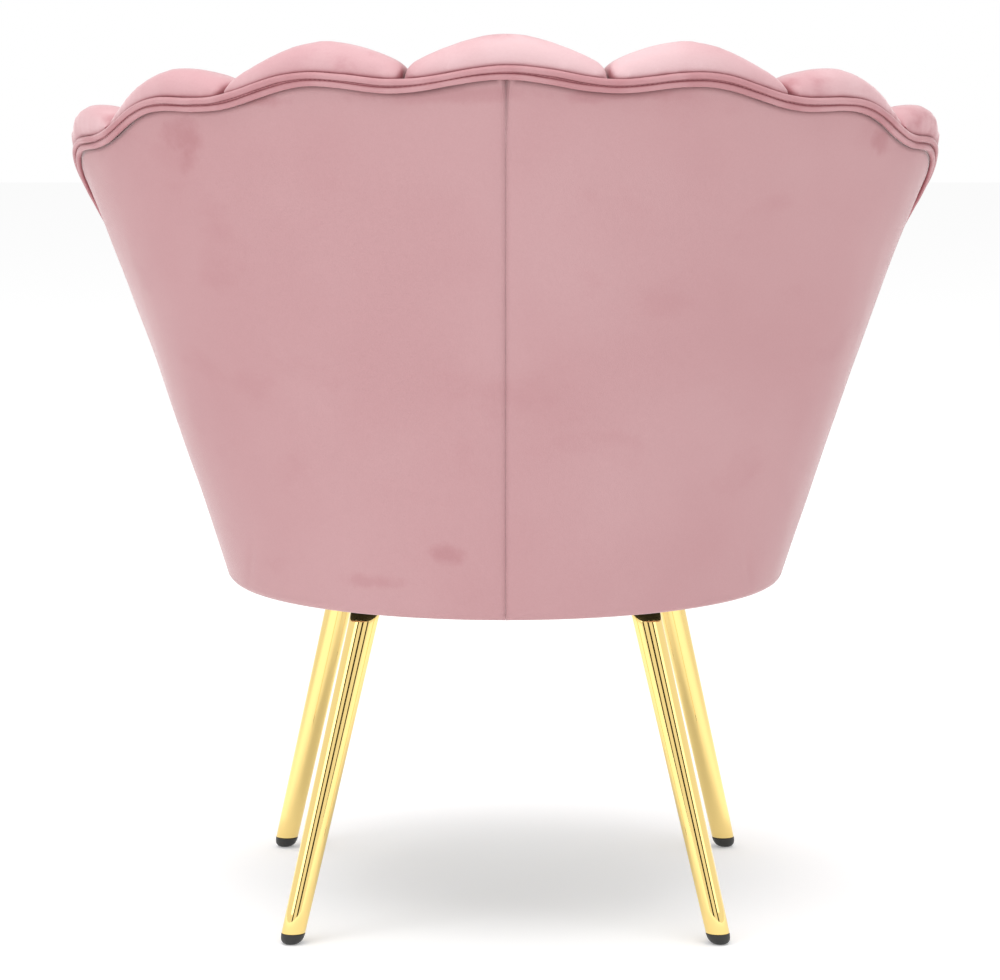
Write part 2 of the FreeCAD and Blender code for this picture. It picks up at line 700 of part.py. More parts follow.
# Dust cover over the hem, with an opening round each leg
DUST_COVER = 0.8
DUST_EDGE = 14.0            # its edge lies this far in from the shell's outer face
DUST_OPENING = 1.2
dust = slab(SHELL_BOTTOM - DUST_COVER, SHELL_BOTTOM, DUST_EDGE, DUST_EDGE)
for leg, flipped in LEGS.values():
    opening = taper(leg, SHELL_BOTTOM - BLOCK, LEG_TOP, -DUST_OPENING)
    dust = dust.cut(mirrored(opening) if flipped else opening)
save("dust_cover", dust)
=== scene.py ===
# %% [markdown]
# # A scallop back chair in velvet
# The chair is a round tub on four splayed metal legs. Its wall flares up to a waved rim, and
# seven padded channels stand inside it like the ribs of a shell. The solids of the chair come
# from the frame, and this lesson dresses them: velvet, padding, piping, stitches, metal.

# %% Open the frame
import math
import bpy
import bmesh
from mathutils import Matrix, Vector, noise


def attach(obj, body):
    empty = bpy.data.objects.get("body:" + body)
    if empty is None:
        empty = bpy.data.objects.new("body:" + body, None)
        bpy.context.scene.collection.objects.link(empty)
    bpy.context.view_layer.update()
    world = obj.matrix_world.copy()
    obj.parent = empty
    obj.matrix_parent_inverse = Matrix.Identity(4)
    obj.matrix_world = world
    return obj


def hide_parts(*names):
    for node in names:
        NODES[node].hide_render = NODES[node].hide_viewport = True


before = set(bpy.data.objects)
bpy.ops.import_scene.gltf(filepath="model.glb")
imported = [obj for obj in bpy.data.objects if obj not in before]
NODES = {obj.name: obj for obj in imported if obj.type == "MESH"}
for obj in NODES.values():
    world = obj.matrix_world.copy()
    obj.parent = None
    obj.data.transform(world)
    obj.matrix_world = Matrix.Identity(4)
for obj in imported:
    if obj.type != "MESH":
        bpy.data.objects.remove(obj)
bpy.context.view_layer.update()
SCENE = bpy.context.scene
print("frame:", len(NODES), "nodes")

# %% [markdown]
# ## The rule behind the shell
# Every layer of the wall follows one rule. The wall is cut into upright slices. A place along it
# is counted in channels: 0 is the middle of the back, 0.5 the first seam, 3.5 the front edge of
# a wing. In a slice, a point has a height and a depth inwards from the outer face. One function
# then gives every cover, pad and cord its shape, so they fit each other without measuring.

# %% Sizes of the shell, in metres
SHELL_BOTTOM = 0.2875
BASE_HALF_WIDTH = 0.243
BASE_REAR = 0.241
BASE_FRONT = 0.290
RIM_HALF_WIDTH = 0.371
RIM_REAR = 0.329
RIM_HEIGHT = 0.742
RIM_FALL = 0.0974
RIM_FALL_POWER = 1.12
RIM_WAVE = 0.005
TIP_START = 3.2
TIP_DROP = 0.028
WALL_END = 3.5
PITCH_LOW = math.radians(35.7)
PITCH_RIM = math.radians(26.3)
BAND_TOP = 0.375
BAND_FRONT = 0.315
LAP = 0.0062
LAP_STEEPEST = 2.4              # the welt covers at most this many laps where the rim is steep
CHANNEL_WIDTH = 0.160
BAND_HALF_WIDTH = 0.230


def spread(first, last, count):
    """Evenly spaced values, ends included."""
    return [first + (last - first) * i / (count - 1) for i in range(count)]


def rim_line(place):
    """Height of the rim without its waves."""
    return RIM_HEIGHT - RIM_FALL * (1 - math.cos(place * PITCH_RIM)) ** RIM_FALL_POWER


def rim(place):
    """Height of the middle of the double welt."""
    wave = RIM_WAVE * math.cos(2 * math.pi * place)
    past = min(max(0.0, abs(place) - TIP_START) / (WALL_END - TIP_START), 0.97)
    return rim_line(place) + wave - TIP_DROP * (1 - math.sqrt(1 - past ** 2))


def lap(place):
    """Half the height of the double welt, more where the rim slopes."""
    step = 0.01
    rise = (rim(place + step) - rim(place - step)) / (2 * step * CHANNEL_WIDTH)
    return LAP * min(math.hypot(1, rise), LAP_STEEPEST)


def slice_point(foot, head, facing, height, depth):
    """Point on the straight line from foot to head, moved inwards by depth."""
    along = (height - foot.z) / (head.z - foot.z)
    return foot.lerp(head, along) + Vector((-math.sin(facing), -math.cos(facing), 0)) * depth


def wall_point(place, height, depth):
    """Point of the wall: place round it, height, depth inwards from its outer face."""
    low = place * PITCH_LOW
    high = place * PITCH_RIM
    reach = BASE_REAR if math.cos(low) > 0 else BASE_FRONT
    foot = Vector((BASE_HALF_WIDTH * math.sin(low), reach * math.cos(low), SHELL_BOTTOM))
    head = Vector((RIM_HALF_WIDTH * math.sin(high), RIM_REAR * math.cos(high), rim_line(place)))
    return slice_point(foot, head, (low + high) / 2, height, depth)


WING = wall_point(WALL_END, BAND_TOP, 0)
WING_FACING = WALL_END * (PITCH_LOW + PITCH_RIM) / 2


def band_point(place, height, depth):
    """Point of the front band under the seat: place runs from 1 at one wing to -1 at the other."""
    low = math.pi - place * (math.pi - WALL_END * PITCH_LOW)
    turn = math.pi * (1 - place / 2)
    foot = Vector((BASE_HALF_WIDTH * math.sin(low), BASE_FRONT * math.cos(low), SHELL_BOTTOM))
    head = Vector((WING.x * math.sin(turn), WING.y + (WING.y + BAND_FRONT) * math.cos(turn), BAND_TOP))
    facing = math.pi - place * (math.pi - WING_FACING)
    return slice_point(foot, head, facing, height, depth)


print("rim: %.3f m at the back, %.3f m at a wing" % (rim(0), rim(3)))

# %% [markdown]
# ## Shader groups
# Velvet covers almost the whole chair, on pieces that face every way. What makes it velvet is
# its nap: short pile that leans one way here and another way there, so broad soft patches look
# lighter or darker. That effect is a node group. It is built once and used in the velvet of the
# outside, the channels, the seat and the welt, each with its own strength.

# %% Helpers to build node trees
def group(name, inputs, outputs):
    """New shader node group with named float inputs and outputs."""
    tree = bpy.data.node_groups.new(name, "ShaderNodeTree")
    for label, value in inputs:
        socket = tree.interface.new_socket(label, in_out="INPUT", socket_type="NodeSocketFloat")
        socket.default_value = value
    for label in outputs:
        tree.interface.new_socket(label, in_out="OUTPUT", socket_type="NodeSocketFloat")
    return tree, tree.nodes.new("NodeGroupInput"), tree.nodes.new("NodeGroupOutput")


def node(tree, kind, links=(), **settings):
    """Add a node, set its properties, and link or set its inputs."""
    made = tree.nodes.new(kind)
    for key, value in settings.items():
        setattr(made, key, value)
    for socket, source in dict(links).items():
        if isinstance(source, bpy.types.NodeSocket):
            tree.links.new(source, made.inputs[socket])
        else:
            made.inputs[socket].default_value = source
    return made


def math_node(tree, operation, first, second=0.0, third=0.0):
    made = node(tree, "ShaderNodeMath", {0: first, 1: second}, operation=operation)
    made.inputs[2].default_value = third
    return made.outputs[0]


def noise_node(tree, scale, detail=2.0, stretch=(1, 1, 1), shift=(0, 0, 0)):
    """Noise on object coordinates, with its own stretch and shift."""
    place = node(tree, "ShaderNodeTexCoord")
    moved = node(tree, "ShaderNodeMapping", {"Vector": place.outputs["Object"]})
    moved.inputs["Scale"].default_value = stretch
    moved.inputs["Location"].default_value = shift
    pattern = node(tree, "ShaderNodeTexNoise", {"Vector": moved.outputs[0], "Detail": detail})
    if isinstance(scale, bpy.types.NodeSocket):
        tree.links.new(scale, pattern.inputs["Scale"])
    else:
        pattern.inputs["Scale"].default_value = scale
    return pattern.outputs["Fac"]


def smooth_range(tree, value, low, high, out_low=0.0, out_high=1.0):
    made = node(tree, "ShaderNodeMapRange", {"Value": value}, interpolation_type="SMOOTHSTEP")
    for label, number in (("From Min", low), ("From Max", high), ("To Min", out_low), ("To Max", out_high)):
        made.inputs[label].default_value = number
    return made.outputs[0]


# %% [markdown]
# Nap is the pile's lean. It could be painted, or drawn as thousands of hairs, but from a metre off
# only its shade is seen. So noise at three sizes makes it: broad patches, smudges where the pile
# is brushed over, and fine specks. It gives a shade and a fine height, and no colour of its own.

# %% The nap of velvet
def make_nap():
    """Shade is 1 where the pile is even, less where it is brushed over. Pile is its fine height."""
    tree, given, result = group("velvet_nap",
                                [("Patch Scale", 7.0), ("Patch Strength", 0.1), ("Smudge Strength", 0.1)],
                                ["Shade", "Pile"])
    patches = noise_node(tree, given.outputs["Patch Scale"], 2.0)
    broad = smooth_range(tree, patches, 0.30, 0.70, -1.0, 1.0)
    smudges = noise_node(tree, 15.0, 5.0, stretch=(0.8, 0.8, 1.3), shift=(3, 1, 2))
    brushed = smooth_range(tree, smudges, 0.56, 0.74, 0.0, -1.0)
    speck = noise_node(tree, 620.0, 2.0)
    broad = math_node(tree, "MULTIPLY", broad, given.outputs["Patch Strength"])
    brushed = math_node(tree, "MULTIPLY", brushed, given.outputs["Smudge Strength"])
    both = math_node(tree, "ADD", broad, brushed)
    fine = math_node(tree, "MULTIPLY_ADD", speck, 0.06, -0.03)
    shade = math_node(tree, "ADD", math_node(tree, "ADD", both, 1.0), fine)
    tree.links.new(shade, result.inputs["Shade"])
    pile = noise_node(tree, 1400.0, 3.0)
    tree.links.new(pile, result.inputs["Pile"])
    return tree


# %% [markdown]
# Sawn wood, boards, plating and plastic all show faint streaks and handled spots. One group with a
# fineness and a depth serves them all, which keeps them alike and is easier to correct.

# %% Grain and wear, shared by timber, boards, metal and plastic
def make_grain():
    """Streaks along one axis, for sawn wood, boards and brushed or handled metal."""
    tree, given, result = group("streaks_and_wear",
                                [("Fineness", 60.0), ("Depth", 0.5)], ["Shade", "Wear"])
    long_grain = noise_node(tree, given.outputs["Fineness"], 5.0, stretch=(1, 1, 0.12))
    middle = math_node(tree, "SUBTRACT", long_grain, 0.5)
    shade = math_node(tree, "MULTIPLY_ADD", middle, given.outputs["Depth"], 1.0)
    tree.links.new(shade, result.inputs["Shade"])
    smudge = noise_node(tree, 26.0, 5.0, shift=(5, 5, 5))
    tree.links.new(smooth_range(tree, smudge, 0.45, 0.75), result.inputs["Wear"])
    return tree


NAP = make_nap()
GRAIN = make_grain()
print("groups:", NAP.name, GRAIN.name)

# %% [markdown]
# ## Materials
# A number that is the same all over a finish, such as velvet's sheen, is set on the shader
# itself. Only what changes over the surface comes in through a link. Sheen is the right tool
# for velvet: it brightens the pile where the surface turns away from the eye.

# %% Helpers for materials
def new_material(name, **fixed):
    """Material with one Principled shader; fixed values are set on its own sockets."""
    made = bpy.data.materials.new(name)
    made.use_nodes = True
    shader = made.node_tree.nodes["Principled BSDF"]
    for label, value in fixed.items():
        shader.inputs[label.replace("_", " ")].default_value = value
    return made, made.node_tree, shader


def shaded_colour(tree, shade, colour, deepen=(1.0, 1.0, 1.0)):
    """Colour multiplied by a shade that may pass 1; deepen darkens red, green and blue unevenly."""
    shares = node(tree, "ShaderNodeVectorMath", {0: shade, 1: deepen}, operation="POWER")
    made = node(tree, "ShaderNodeVectorMath", {0: shares.outputs[0], 1: colour}, operation="MULTIPLY")
    return made.outputs[0]


def add_bump(tree, shader, height, distance, strength):
    bump = node(tree, "ShaderNodeBump", {"Height": height, "Distance": distance, "Strength": strength})
    tree.links.new(bump.outputs[0], shader.inputs["Normal"])


# %% [markdown]
# The outside, the channels, the seat and the welt are one cloth in four cuts, so one function makes
# all four. Where the velvet is tucked into a seam or lies under the welt, a short-range occlusion
# paints shade into its colour there. Marks are spots brushed by a hand.

# %% Velvet
# This deepening turns brushed pile and the painted crease shade a deeper pink rather than grey
DEEP_PILE_AND_SHADE = (0.8, 1.6, 1.5)      # brushed pile is a deeper pink, as one looks into it


def velvet(name, colour, patch_scale, patch, smudge, marks=(), painted_crease_shade=0.0):
    """Velvet with its nap; marks are single brushed spots: place, reach along each axis, strength."""
    made, tree, shader = new_material(name, Roughness=0.85, Sheen_Weight=0.9, Sheen_Roughness=0.28,
                                      Sheen_Tint=(1.0, 0.90, 0.90, 1.0), Specular_IOR_Level=0.12)
    nap = node(tree, "ShaderNodeGroup", node_tree=NAP)
    nap.inputs["Patch Scale"].default_value = patch_scale
    nap.inputs["Patch Strength"].default_value = patch
    nap.inputs["Smudge Strength"].default_value = smudge
    shade = nap.outputs["Shade"]
    for mark in marks:
        shade = math_node(tree, "MULTIPLY", shade, brushed_mark(tree, *mark))
    if painted_crease_shade:
        # Painted shade: the colour is darkened where occlusion finds a seam or the welt close by
        open_air = node(tree, "ShaderNodeAmbientOcclusion", {"Distance": 0.045}, samples=8)
        shade = math_node(tree, "MULTIPLY", shade,
                          smooth_range(tree, open_air.outputs["AO"], 0.35, 0.95, 1.0 - painted_crease_shade, 1.0))
    tree.links.new(shaded_colour(tree, shade, colour, DEEP_PILE_AND_SHADE), shader.inputs["Base Color"])
    add_bump(tree, shader, nap.outputs["Pile"], 0.0006, 0.3)
    return made


def brushed_mark(tree, place, reach, strength):
    """Shade of one brushed spot: 1 away from it, less in its middle, with a ragged edge."""
    spot = node(tree, "ShaderNodeTexCoord")
    ragged = node(tree, "ShaderNodeTexNoise",
                  {"Vector": spot.outputs["Object"], "Scale": 60.0, "Detail": 3.0})
    offset = node(tree, "ShaderNodeVectorMath", {0: spot.outputs["Object"], 1: place}, operation="SUBTRACT")
    scaled = node(tree, "ShaderNodeVectorMath", {0: offset.outputs[0], 1: reach}, operation="DIVIDE")
    far = node(tree, "ShaderNodeVectorMath", {0: scaled.outputs[0]}, operation="LENGTH")
    wavy = math_node(tree, "MULTIPLY_ADD", ragged.outputs["Fac"], 1.6, -0.8)
    away = math_node(tree, "ADD", far.outputs["Value"], wavy)
    return smooth_range(tree, away, 0.3, 1.2, 1.0 - strength, 1.0)


# Spots of the outside cover where a hand has brushed the pile, on the face seen from behind
COVER_MARKS = [
    ((0.268, 0.235, 0.690), (0.022, 0.060, 0.016), 0.13),
    ((0.205, 0.270, 0.722), (0.030, 0.060, 0.007), 0.13),
    ((0.262, 0.235, 0.668), (0.010, 0.060, 0.012), 0.10),
    ((-0.315, 0.170, 0.683), (0.009, 0.060, 0.013), 0.13),
    ((-0.326, 0.150, 0.703), (0.006, 0.060, 0.006), 0.10),
    ((0.048, 0.250, 0.345), (0.015, 0.060, 0.010), 0.12),
    ((0.115, 0.230, 0.318), (0.034, 0.060, 0.007), 0.08),
    ((0.050, 0.320, 0.728), (0.075, 0.060, 0.008), 0.08),
    ((-0.090, 0.310, 0.728), (0.060, 0.060, 0.007), 0.10),
]
OUTSIDE_VELVET = velvet("outside_velvet", (0.505, 0.292, 0.305), 5.0, 0.035, 0.04, COVER_MARKS)
# The channels' velvet is lighter than the outside cover's: painted light for the lit tops of the pads
CHANNEL_VELVET = velvet("channel_velvet", (0.63, 0.40, 0.42), 11.0, 0.10, 0.26, painted_crease_shade=0.5)
SEAT_VELVET = velvet("seat_velvet", (0.52, 0.29, 0.31), 8.0, 0.05, 0.10, painted_crease_shade=0.4)
WELT_VELVET = velvet("welt_velvet", (0.50, 0.262, 0.28), 24.0, 0.08, 0.10, painted_crease_shade=0.55)


# %% [markdown]
# The rest needs less: matt cloth for foam, wadding, webbing and lining, and streaks for wood and
# metal. Gold plate is nearly smooth, so that it mirrors; handling leaves it a little duller in spots.

# %% Other finishes
def plain_cloth(name, colour, fineness, rough):
    """Foam, wadding, webbing and lining: matt, with an even fine tooth."""
    made, tree, shader = new_material(name, Roughness=rough, Specular_IOR_Level=0.2)
    tooth = noise_node(tree, fineness, 3.0)
    shade = math_node(tree, "MULTIPLY_ADD", tooth, 0.4, 0.8)
    tree.links.new(shaded_colour(tree, shade, colour), shader.inputs["Base Color"])
    add_bump(tree, shader, tooth, 0.0008, 0.4)
    return made


def grained(name, colour, fineness, depth, rough, **fixed):
    """Wood, boards and metal, with the shared streaks."""
    made, tree, shader = new_material(name, **fixed)
    streaks = node(tree, "ShaderNodeGroup", node_tree=GRAIN)
    streaks.inputs["Fineness"].default_value = fineness
    streaks.inputs["Depth"].default_value = depth
    tree.links.new(shaded_colour(tree, streaks.outputs["Shade"], colour), shader.inputs["Base Color"])
    roughness = math_node(tree, "MULTIPLY_ADD", streaks.outputs["Wear"], rough[1] - rough[0], rough[0])
    tree.links.new(roughness, shader.inputs["Roughness"])
    return made


GOLD = grained("gold_plate", (0.93, 0.70, 0.27), 12.0, 0.04, (0.045, 0.10), Metallic=1.0)
ZINC = grained("zinc_steel", (0.62, 0.62, 0.60), 90.0, 0.2, (0.3, 0.5), Metallic=1.0)
SAWN_WOOD = grained("sawn_wood", (0.52, 0.35, 0.19), 70.0, 0.7, (0.6, 0.8))
PLYWOOD = grained("plywood", (0.58, 0.42, 0.25), 110.0, 0.5, (0.55, 0.75))
HARDBOARD = grained("hardboard", (0.20, 0.115, 0.06), 240.0, 0.5, (0.5, 0.7))
BLACK_PLASTIC = grained("black_plastic", (0.020, 0.020, 0.019), 200.0, 0.4, (0.42, 0.55))
FOAM = plain_cloth("cut_foam", (0.80, 0.68, 0.38), 500.0, 0.95)
WADDING = plain_cloth("wadding", (0.80, 0.79, 0.76), 160.0, 1.0)
WEBBING = plain_cloth("webbing", (0.035, 0.035, 0.038), 900.0, 0.8)
LINING = plain_cloth("black_lining", (0.012, 0.012, 0.013), 700.0, 0.9)
THREAD = plain_cloth("pink_thread", (0.46, 0.20, 0.22), 900.0, 0.7)

# %% [markdown]
# The solids inside the chair stay visible through gaps and in a cut-away, so none is left bare.
# A solid's name starts with its kind of piece, and that start picks the finish.

# %% Give every solid of the frame its finish
FINISH_BY_START = [
    ("leg_tube", GOLD), ("leg_plug", SAWN_WOOD), ("leg_block", SAWN_WOOD), ("leg_studs", ZINC),
    ("foot_cap", BLACK_PLASTIC), ("tee_nuts", ZINC), ("base_screws", ZINC), ("back_rib", SAWN_WOOD),
    ("front_post", SAWN_WOOD), ("base_ring", PLYWOOD), ("seat_ring", PLYWOOD), ("rim_hoop", PLYWOOD),
    ("outer_board", HARDBOARD), ("inner_board", HARDBOARD), ("front_board", HARDBOARD),
    ("back_wadding", WADDING), ("front_wadding", WADDING), ("outer_cover", OUTSIDE_VELVET),
    ("front_band_cover", OUTSIDE_VELVET), ("channel_pad", CHANNEL_VELVET), ("seat_foam", FOAM),
    ("seat_cover", SEAT_VELVET), ("welt_cord", WELT_VELVET), ("webbing", WEBBING), ("dust_cover", LINING),
]


def finish_of(name):
    return next(material for start, material in FINISH_BY_START if name.startswith(start))


for name, solid in NODES.items():
    solid.data.materials.clear()
    solid.data.materials.append(finish_of(name))
print("finishes set on", len(NODES), "solids")

# %% [markdown]
# ## A skin through rings
# Most soft pieces here are closed skins drawn through rings of points, one ring per slice of the
# wall. The helper joins neighbouring rings by four-sided faces and closes the two ends.

# %% Skin and slice helpers
def skin(name, rings, material, ends="close"):
    """Closed mesh through rings with the same number of points."""
    count = len(rings[0])
    points = [p for ring in rings for p in ring]
    faces = []
    for r in range(len(rings) - (0 if ends == "join" else 1)):
        after = (r + 1) % len(rings)
        for i in range(count):
            j = (i + 1) % count
            faces.append((r * count + i, r * count + j, after * count + j, after * count + i))
    if ends == "close":
        faces.append(tuple(range(count)))
        faces.append(tuple(reversed(range(len(points) - count, len(points)))))
    mesh = bpy.data.meshes.new(name)
    mesh.from_pydata(points, [], faces)
    return finish_mesh(name, mesh, material)


def finish_mesh(name, mesh, material, smooth=True):
    """Object for a mesh, with its faces turned outwards."""
    work = bmesh.new()
    work.from_mesh(mesh)
    bmesh.ops.recalc_face_normals(work, faces=work.faces)
    work.to_mesh(mesh)
    work.free()
    mesh.materials.clear()
    mesh.materials.append(material)
    mesh.polygons.foreach_set("use_smooth", [smooth] * len(mesh.polygons))
    made = bpy.data.objects.new(name, mesh)
    SCENE.collection.objects.link(made)
    return made


def mirrored(piece, name):
    """Copy of a piece on the chair's other side."""
    mesh = piece.data.copy()
    for vertex in mesh.vertices:
        vertex.co.x = -vertex.co.x
    made = finish_mesh(name, mesh, piece.data.materials[0])
    for modifier in piece.modifiers:
        smoothing = made.modifiers.new(modifier.name, modifier.type)
        smoothing.levels = modifier.levels
        smoothing.render_levels = modifier.render_levels
    return made


def arc_through(first, middle, last, count):
    """Points on the circle arc through three points of a plane, first one left out."""
    (ax, ay), (bx, by), (cx, cy) = first, middle, last
    d = 2 * (ax * (by - cy) + bx * (cy - ay) + cx * (ay - by))
    a2, b2, c2 = ax * ax + ay * ay, bx * bx + by * by, cx * cx + cy * cy
    ux = (a2 * (by - cy) + b2 * (cy - ay) + c2 * (ay - by)) / d
    uy = (a2 * (cx - bx) + b2 * (ax - cx) + c2 * (bx - ax)) / d
    start = math.atan2(ay - uy, ax - ux)
    sweep = math.atan2(cy - uy, cx - ux) - start
    via = (math.atan2(by - uy, bx - ux) - start) % (2 * math.pi)
    sweep = sweep % (2 * math.pi)
    if via > sweep:
        sweep -= 2 * math.pi
    radius = math.hypot(ax - ux, ay - uy)
    return [(ux + radius * math.cos(start + sweep * k / count),
             uy + radius * math.sin(start + sweep * k / count)) for k in range(1, count + 1)]


def along(path, per_arc, step):
    """Closed outline as many points: a third entry marks the middle of an arc."""
    spots = []
    i = 0
    while i < len(path):
        after = path[(i + 1) % len(path)]
        here = path[i][:2]
        if len(after) == 3:
            spots += arc_through(here, after[:2], path[(i + 2) % len(path)][:2], per_arc)
            i += 2
        else:
            pieces = step[i]
            spots += [(here[0] + (after[0] - here[0]) * k / pieces,
                       here[1] + (after[1] - here[1]) * k / pieces) for k in range(1, pieces + 1)]
            i += 1
    return spots


def wander(x, y=0.0, seed=0.0):
    """Soft value from about -1 to 1 that changes slowly with x and y, the same on every run."""
    return 2 * noise.noise(Vector((x, y, seed)), noise_basis="PERLIN_ORIGINAL")


# %% [markdown]
# ## Outside cover
# Two halves of velvet meet in a seam down the middle of the back. Each half is cut flat and
# stretched over thin wadding, so it lies nearly even: only broad, shallow hollows show in the
# light. It ends under the double welt, and folds in under the base, where it is stapled. The
# grid below follows the rule of the wall. Its depth adds what the hand adds: soft unevenness,
# a groove along the seam, a few short creases low on the sides.

# %% Outside cover, left and right halves
COVER = 0.002
FOLD = 0.006
HEM = 0.028
COVER_COLUMNS = 150
COVER_ROWS = 72
SEAM_GROOVE_WIDTH = 0.0045
SEAM_GROOVE_DEPTH = 0.0016
SEAM_LINE = 0.0004
SIDE_BOW = 0.0085               # the sides stand out by this much half way up
BOW_PLACE = 2.9
BOW_REACH_TO_BACK = 1.7
BOW_REACH_TO_FRONT = 0.6
SEAM_GAP_PLACE = 0.0004         # the halves begin this far from the middle line
COVER_END = WALL_END - 0.036

# Creases as place, height, half length, half width (metres), turn (degrees) and depth
CREASES = [
    (-1.60, 0.318, 0.020, 0.0035, 62, 0.0011),
    (-1.45, 0.332, 0.016, 0.0030, 55, 0.0008),
    (1.72, 0.322, 0.022, 0.0035, -60, 0.0010),
    (1.30, 0.352, 0.015, 0.0030, -35, 0.0007),
    (-0.90, 0.306, 0.018, 0.0028, 15, 0.0007),
    (0.95, 0.304, 0.020, 0.0028, -12, 0.0006),
]


def crease_depth(place, height):
    """Depth of the short creases at a spot of the cover."""
    depth = 0.0
    for middle, level, length, width, turn, deep in CREASES:
        x = (place - middle) * CHANNEL_WIDTH
        y = height - level
        angle = math.radians(turn)
        run = (x * math.cos(angle) + y * math.sin(angle)) / length
        side = (y * math.cos(angle) - x * math.sin(angle)) / width
        if abs(run) < 3 and abs(side) < 3:
            depth += deep * math.exp(-run * run - side * side)
    return depth


def side_bow(place, height):
    """How far the sides of the cover bow out over the wadding, most half way up near the wings."""
    up = (height - SHELL_BOTTOM) / (rim(place) - SHELL_BOTTOM)
    near = abs(place)
    width = BOW_REACH_TO_BACK if near < BOW_PLACE else BOW_REACH_TO_FRONT
    off = min(1.0, abs(near - BOW_PLACE) / width)
    return SIDE_BOW * 4 * up * (1 - up) * max(0.0, math.cos(off * math.pi / 2)) ** 1.5


def cover_depth(place, height):
    """How far the velvet lies under its even face: hollows, seam groove and creases."""
    across = place * CHANNEL_WIDTH
    soft = 0.0006 * wander(across * 7, height * 9, 1.0) + 0.0002 * wander(across * 26, height * 22, 2.0)
    pull = 0.0009 * max(0.0, 1 - (rim(place) - height) / 0.05) ** 2
    seam = (place - SEAM_LINE) * CHANNEL_WIDTH / SEAM_GROOVE_WIDTH
    groove = SEAM_GROOVE_DEPTH * math.exp(-seam * seam)
    return soft + pull + groove + crease_depth(place, height) - side_bow(place, height)


def cover_rings(side):
    """Slices of one half of the outside cover, from the centre seam to the wing's front edge."""
    rings = []
    for i in range(COVER_COLUMNS + 1):
        share = i / COVER_COLUMNS
        crowded = 1.3 * share - 0.3 * share ** 2
        place = side * (SEAM_GAP_PLACE + (COVER_END - SEAM_GAP_PLACE) * crowded)
        top = rim(place) - lap(place) + 0.001
        low = SHELL_BOTTOM
        ring = []
        for height in spread(low + FOLD, top, COVER_ROWS):
            ring.append(wall_point(place, height, cover_depth(place, height)))
        ring.append(wall_point(place, top, COVER))
        ring.append(wall_point(place, low + FOLD, COVER))
        for angle in (30, 60):
            turn = math.radians(angle)
            ring.append(wall_point(place, low + FOLD - (FOLD - COVER) * math.sin(turn),
                                   FOLD - (FOLD - COVER) * math.cos(turn)))
        ring += [wall_point(place, low + COVER, FOLD), wall_point(place, low + COVER, HEM),
                 wall_point(place, low, HEM), wall_point(place, low, FOLD)]
        for angle in (67, 45, 22):
            turn = math.radians(angle)
            ring.append(wall_point(place, low + FOLD - FOLD * math.sin(turn), FOLD - FOLD * math.cos(turn)))
        rings.append(ring)
    return rings


outer_cover_left = skin("outside_cover_left", cover_rings(1), OUTSIDE_VELVET)
outer_cover_right = skin("outside_cover_right", cover_rings(-1), OUTSIDE_VELVET)
print("outside cover:", len(outer_cover_left.data.polygons), "faces a half")

# %% [markdown]
# ## Front band
# Under the seat a band of the same velvet closes the round between the two wings. It lies over
# its board and is folded both over the seat frame and in under the base.

# %% Front band cover
BAND_END = 1 - LAP / BAND_HALF_WIDTH
BAND_COLUMNS = 80
BAND_ROWS = 16


def band_rings():
    rings = []
    low = SHELL_BOTTOM
    top = BAND_TOP + 0.0004 + COVER
    for place in spread(-BAND_END, BAND_END, BAND_COLUMNS):
        ring = []
        for height in spread(low + FOLD, top - COVER, BAND_ROWS):
            soft = 0.0004 * wander(place * 5, height * 20, 3.0)
            ring.append(band_point(place, height, soft))
        ring += [band_point(place, top - 0.0006, 0.0006), band_point(place, top, 0.002),
                 band_point(place, top, HEM), band_point(place, top - COVER, HEM),
                 band_point(place, top - COVER, COVER), band_point(place, low + FOLD, COVER),
                 band_point(place, low + COVER, FOLD), band_point(place, low + COVER, HEM),
                 band_point(place, low, HEM), band_point(place, low, FOLD)]
        for angle in (67, 45, 22):
            turn = math.radians(angle)
            ring.append(band_point(place, low + FOLD - FOLD * math.sin(turn),
                                   FOLD - FOLD * math.cos(turn)))
        rings.append(ring)
    return rings


front_band = skin("front_band", band_rings(), OUTSIDE_VELVET)
print("front band:", len(front_band.data.polygons), "faces")

# %% [markdown]
# ## Padded channels
# A channel is a velvet tube sewn to its neighbours and stuffed from the top. Stuffing pushes the
# velvet out until it is round and tight, so the form is a little fuller than its pattern and
# wrinkles only where it turns over the rim. That is what a cloth simulation with pressure does:
# each channel starts slightly thin, is blown up for some frames, and is held where it is sewn.

# %% Channel pattern
PAD_BACK = 0.0360
PAD_FULL = 0.050
PAD_SEAM = 0.014
PAD_CREST = 0.025
PAD_CREST_SEAM = 0.007
WING_CREST = 0.008              # the wings' channels rise this much more
PAD_BOTTOM = 0.380
PAD_BELLY = 0.545
FRAME_END = 3.36
ROLL_END = 3.66
START_THIN = 0.003
PAD_SLICES = 25
CHANNEL_REACH = 0.4985           # a channel reaches this far each side of its middle
CREST_DEPTH = 0.45
NOSE_UP = 0.72
NOSE_IN = 0.18
SHOULDER_DOWN = 0.27
SHOULDER_IN = 0.74
WAIST_SHARE = 0.88
FOOT_SHARE = 0.6
ROLL_FALL = 0.014
ROLL_CREST_FALL = 0.012
ROLL_LEAST_RISE = 0.003
ROLL_FACE_BACK = 0.008
ROLL_WAIST_BACK = 0.004
ROLL_EDGE_BACK = 0.012


def crown(place):
    """How full the padding is: 1 in the middle of a channel, 0 in a seam."""
    number = min(round(abs(place)), 3)
    off = abs(place) - number
    reach = 0.72 if number == 3 and off > 0 else 0.5
    return math.sqrt(max(0.0, 1 - (off / reach) ** 2))


PAD_FRONT = 0.0027
SHOULDER_DROP = 0.030
WAIST = 0.430


